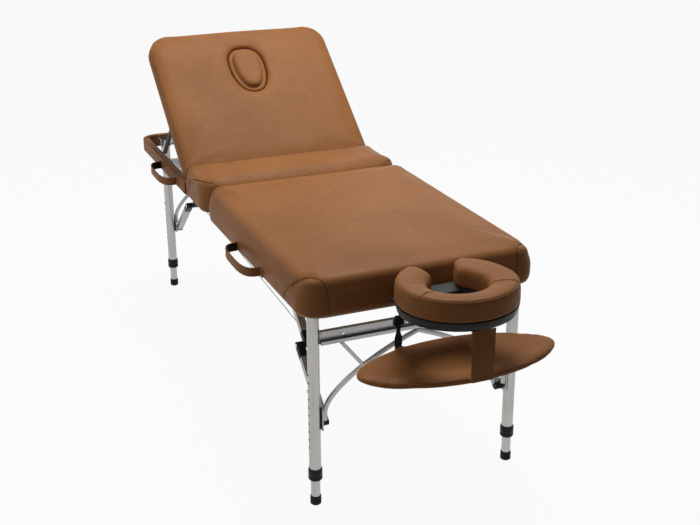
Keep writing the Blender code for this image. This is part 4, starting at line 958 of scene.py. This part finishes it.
for label, side in (("front", -1), ("back", 1)):
    body = label + "_half"
    tall = handleSpec["top"] - handleSpec["bottom"]
    inset, thick = handleSpec["outer"]
    outer = band(label + "HandleOuter", handlePath(handleSpec, side, inset), tall, thick)
    settle(outer, body, hideShaded, "brown_leather", label + "_handle")
    inset, thick = handleSpec["lining"]
    short = tall - handleSpec["liningShort"]
    inner = band(label + "HandleLining", handlePath(handleSpec, side, inset), short, thick)
    settle(inner, body, lining, "brown_leather")
    edge = handleSpec["rows"]
    middleRow = evenly(handlePath(handleSpec, side, -0.0001), sewing["rowPitch"])
    rows = [[spot + Vector((0, 0, lift)) for spot in middleRow] for lift in (-edge, edge)]
    tabs = []
    for end in (-1, 1):
        middle = side * handleSpec["middle"] + end * (handleSpec["halfSpan"] + handleSpec["tabAt"])
        half = handleSpec["tabHalf"]
        (outX, inX), (lowZ, highZ) = handleSpec["tabX"], handleSpec["tabZ"]
        tab = block("tab", at(outX, middle - half, lowZ), at(inX, middle + half, highZ))
        roundEdges(tab, lambda a, b: abs((a - b).x) > samePlace, 0.003, 3)
        easeEdges(tab, 0.0007, 2)
        tabs.append(tab)
        boxAndCross = ((-1, -1), (1, -1), (1, 1), (-1, 1), (-1, -1), (1, 1))
        rowX, rowZ = handleSpec["tabRow"]
        tabRow = [at(rowX, middle + dy * edge, rowZ + dz * edge) for dy, dz in boxAndCross]
        rows.append(evenly(tabRow, sewing["rowPitch"]))
    settle(joined(label + "HandleTabs", tabs), body, hideShaded, "brown_leather")
    stitched(label + "HandleStitches", body, rows, *handleSpec["dash"])

frontStrapSpec = {"edge": 0.0007, "rowX": 0.0275, "rowStop": 0.004, "rowOut": 0.0001}
low, high = (Vector(corner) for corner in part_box("sling_front_strap"))
frontStrap = block("frontStrap", low, high)
bake(frontStrap, "BEVEL", width=frontStrapSpec["edge"], segments=2)
settle(frontStrap, "front_strap", hideShaded, "brown_leather", "sling_front_strap")
strapRows = []
rowY, stop = low.y - frontStrapSpec["rowOut"], frontStrapSpec["rowStop"]
for x in (-frontStrapSpec["rowX"], frontStrapSpec["rowX"]):
    ends = [Vector((seam.x + x, rowY, height)) for height in (low.z + stop, high.z - stop)]
    strapRows.append(evenly(ends, sewing["rowPitch"]))
stitched("frontStrapStitches", "front_strap", strapRows)

rearLow, rearHigh = (Vector(corner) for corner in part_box("sling_rear_strap"))
rearStraps = solidOf("sling_rear_strap", "rearStraps")
selectEdges(rearStraps, lambda a, b: abs(a.z - b.z) > 0.02)
bpy.ops.mesh.subdivide(number_cuts=strapSpec["cuts"])
editing(False)
for point in rearStraps.data.vertices:  # webbing gathered below its slider
    middle = seam.x + math.copysign(strapSpec["rearX"], point.co.x - seam.x)
    share = (point.co.z - rearLow.z) / (rearHigh.z - rearLow.z)
    if share < strapSpec["waistEnd"]:
        pinch = math.exp(-((share - strapSpec["waistAt"]) / strapSpec["waistSpan"]) ** 2)
        point.co.x = middle + (point.co.x - middle) * (1.0 - strapSpec["waist"] * pinch)
easeEdges(rearStraps, strapSpec["edge"], 2)
settle(rearStraps, "cradle_carrier", blackWeb, "black_webbing", "sling_rear_strap")
sliderLow = rearHigh.z - strapSpec["sliderDrop"]
sliderHigh = sliderLow + strapSpec["sliderTall"]
sliderFront, sliderBack = strapSpec["sliderY"]
slotWide, slotTall = strapSpec["slotHalf"]
slotFront, slotBack = strapSpec["slotY"]
for label, sign in (("left", -1), ("right", 1)):  # slider on each webbing strap
    x, half = sign * strapSpec["rearX"], strapSpec["sliderHalf"]
    sliderFoot = at(x - half, sliderFront, sliderLow)
    slider = block(label + "Slider", sliderFoot, at(x + half, sliderBack, sliderHigh))
    roundEdges(slider, lambda a, b: abs((a - b).y) > samePlace, strapSpec["sliderCorner"], 3)
    for lift in strapSpec["slotsAt"]:
        z = sliderLow + lift
        slotLow = at(x - slotWide, slotFront, z - slotTall)
        cut(slider, block("slot", slotLow, at(x + slotWide, slotBack, z + slotTall)))
    easeEdges(slider, strapSpec["sliderEdge"], 2)
    settle(slider, "cradle_carrier", blackPlastic, "black_plastic")

cableSpec = {"radius": 0.0015, "keep": 0.06, "level": 0.6042}
for side in ("left", "right"):
    low, high = (Vector(corner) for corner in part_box(side + "_cable"))
    sign = -1 if side == "left" else 1
    thick = cableSpec["radius"]
    middleHeight = (low.z + high.z) / 2
    nearX, farX = (low.x + thick, high.x - thick)[::-sign]
    start = Vector((nearX, low.y, middleHeight))
    end = Vector((farX, high.y, middleHeight))
    split = start.lerp(end, (seam.y - start.y) / (end.y - start.y))
    for label, body, a, b in (("Front", "front_half", start, split), ("Back", "back_half", split, end)):
        run = [a.lerp(b, step / 12) for step in range(13)]
        cable = cords(side + "Cable" + label, [run], thick, 2)
        settle(cable, body, plateSteel, "steel", *([side + "_cable"] if label == "Front" else []))
        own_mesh(cable)
print("straps, handles and cables made")

legSpec = {"front": {"x": 0.308, "y": -0.872, "side": -1}, "back": {"x": 0.267, "y": 0.872, "side": 1}}
collarShape = [
    (0.0141, 0.0814), (0.0182, 0.0814), (0.0201, 0.0845), (0.0201, 0.0930), (0.0196, 0.0938),
    (0.0196, 0.0955), (0.0201, 0.0963), (0.0201, 0.1130), (0.0190, 0.1166), (0.0172, 0.1166),
    (0.0172, 0.0900), (0.0141, 0.0900), (0.0141, 0.0814)]
capSpec = {"reach": 0.0106, "back": 0.040, "halfDepth": 0.0116, "lower": 0.033, "upper": 0.059,
           "footBack": 0.008, "footHalf": 0.0112, "overlap": 0.100}
boltSpec = {"knee": 0.0062, "lowerOut": 0.0114, "upperIn": 0.0160, "upperTall": 0.0018,
            "rail": (0.0065, 0.0030), "railX": (0.085, 0.030), "railZ": 0.518, "railWeb": 0.0050}
tip = 0.000001  # radius that closes a lathe shape


def boltHead(spot, way, radius, height=0.0020):  # low round head with a dimple
    profile = [(tip, 0.0), (radius, 0.0), (radius, 0.45 * height), (0.86 * radius, 0.85 * height),
               (0.5 * radius, height), (0.44 * radius, 0.6 * height), (tip, 0.6 * height)]
    head = lathe("bolt", profile, (0, 0, 0), 24)
    head.data.transform(aimed(spot, way))
    return head


def barCap(end, toward, x, back=capSpec["back"], half=capSpec["halfDepth"]):  # moulded cap on a bar's end
    reach = capSpec["reach"]
    cap = block("cap", (-half, -reach, -reach), (half, back, reach))
    roundEdges(cap, lambda a, b: abs((a - b).x) > samePlace and a.y < 0.0, reach * 0.98, 8)
    easeEdges(cap, 0.0009, 2)
    along = (toward - end).normalized()
    turn = Matrix.Rotation(math.atan2(along.z, along.y), 4, "X")
    cap.data.transform(Matrix.Translation((seam.x + x, end.y, end.z)) @ turn)
    return cap


for end, spec in legSpec.items():
    foot = Vector(joints[end + "_lower_brace_fold"]["pos_m"])
    anchor = Vector(joints[end + "_upper_brace_fold"]["pos_m"])
    span = (anchor - foot).length
    knee = foot.lerp(anchor, (span - capSpec["overlap"]) / 2 / span)
    parts = {"_legs": [], "_lower_braces": [], "_upper_braces": []}
    bolts = {"_legs": [], "_lower_braces": [], "_upper_braces": []}
    for sign in (-1, 1):
        legX = sign * spec["x"]
        parts["_legs"].append(lathe("collar", collarShape, at(legX, spec["y"], 0.0)))
        lowerX = sign * (spec["x"] - capSpec["lower"])
        upperX = sign * (spec["x"] - capSpec["upper"])
        parts["_lower_braces"].append(barCap(knee, foot, lowerX))
        parts["_lower_braces"].append(barCap(foot, knee, lowerX, capSpec["footBack"], capSpec["footHalf"]))
        parts["_upper_braces"].append(barCap(knee, anchor, upperX))
        lowerSpot = Vector((seam.x + lowerX + sign * boltSpec["lowerOut"], knee.y, knee.z))
        bolts["_lower_braces"].append(boltHead(lowerSpot, (sign, 0, 0), boltSpec["knee"]))
        upperSpot = Vector((seam.x + upperX - sign * boltSpec["upperIn"], knee.y, knee.z))
        bolts["_upper_braces"].append(
            boltHead(upperSpot, (-sign, 0, 0), boltSpec["knee"], boltSpec["upperTall"]))
        web = spec["y"] + spec["side"] * boltSpec["railWeb"]
        fromLeg, fromMid = boltSpec["railX"]
        for x in (spec["x"] - fromLeg, fromMid):
            spot = at(sign * x, web, boltSpec["railZ"])
            bolts["_legs"].append(boltHead(spot, (0, spec["side"], 0), *boltSpec["rail"]))
    for group in parts:
        label = end + group.title().replace("_", "")
        settle(joined(label + "Caps", parts[group]), end + group, blackPlastic, "black_plastic")
        settle(joined(label + "Bolts", bolts[group]), end + group, boltSteel, "steel")
print("collars, caps and bolts made")

wrapSpec = {"cornerX": 0.290, "cornerY": 0.860, "near": 0.040, "far": 0.0605, "height": 0.6368, "count": 9,
            "from": 8, "sweep": 74, "radius": 0.0011}
pleats = []
for sign in (-1, 1):  # gathered folds where the cover goes round the frame's far corners
    for step in range(wrapSpec["count"]):
        swing = math.radians(wrapSpec["from"] + wrapSpec["sweep"] * step / (wrapSpec["count"] - 1))
        way = Vector((sign * math.cos(swing), math.sin(swing), 0.0))
        middle = at(sign * wrapSpec["cornerX"], wrapSpec["cornerY"], wrapSpec["height"])
        pleats.append([middle + way * wrapSpec["near"], middle + way * wrapSpec["far"]])
settle(cords("wrapPleats", pleats, wrapSpec["radius"], 2), "back_half", hideShaded, "brown_leather")

nodeLooks = {  # finish by the ending of a solid's name, first match wins
    "_inner_leg": tubeMetal, "_left_leg": tubeMetal, "_right_leg": tubeMetal, "_cross_rail": railMetal,
    "_arch_brace": railMetal, "_brace": linkMetal, "_foot": blackRubber, "_button": boltSteel,
    "_deck": plywood, "front_frame": plywood, "back_frame": hideShaded, "_board": plywood,
    "_leg_mount": plateSteel, "_brace_bar": plateSteel, "_hinge_leaf": plateSteel, "hinge_pin": boltSteel,
    "backrest_subframe": plateSteel, "backrest_hinge_bar": plateSteel, "backrest_hanger": blackSteel,
    "prop_arms": blackSteel, "cradle_fork": blackSteel, "cradle_socket": blackPlastic,
    "cradle_lever": blackPlastic}
for name, node in cadNodes.items():
    ending = next((key for key in nodeLooks if name.endswith(key)), None)
    if ending is None:
        continue
    for place in node.material_slots:
        place.material = nodeLooks[ending]
    weld = node.modifiers.new("weld", "WELD")
    weld.merge_threshold = sameCorner
    crisp = node.modifiers.new("crisp", "EDGE_SPLIT")
    crisp.split_angle = math.radians(35)
    even = node.modifiers.new("even", "WEIGHTED_NORMAL")
    even.keep_sharp = True
    pickOnly(node)
    bpy.ops.object.shade_smooth()
print("solid parts finished")
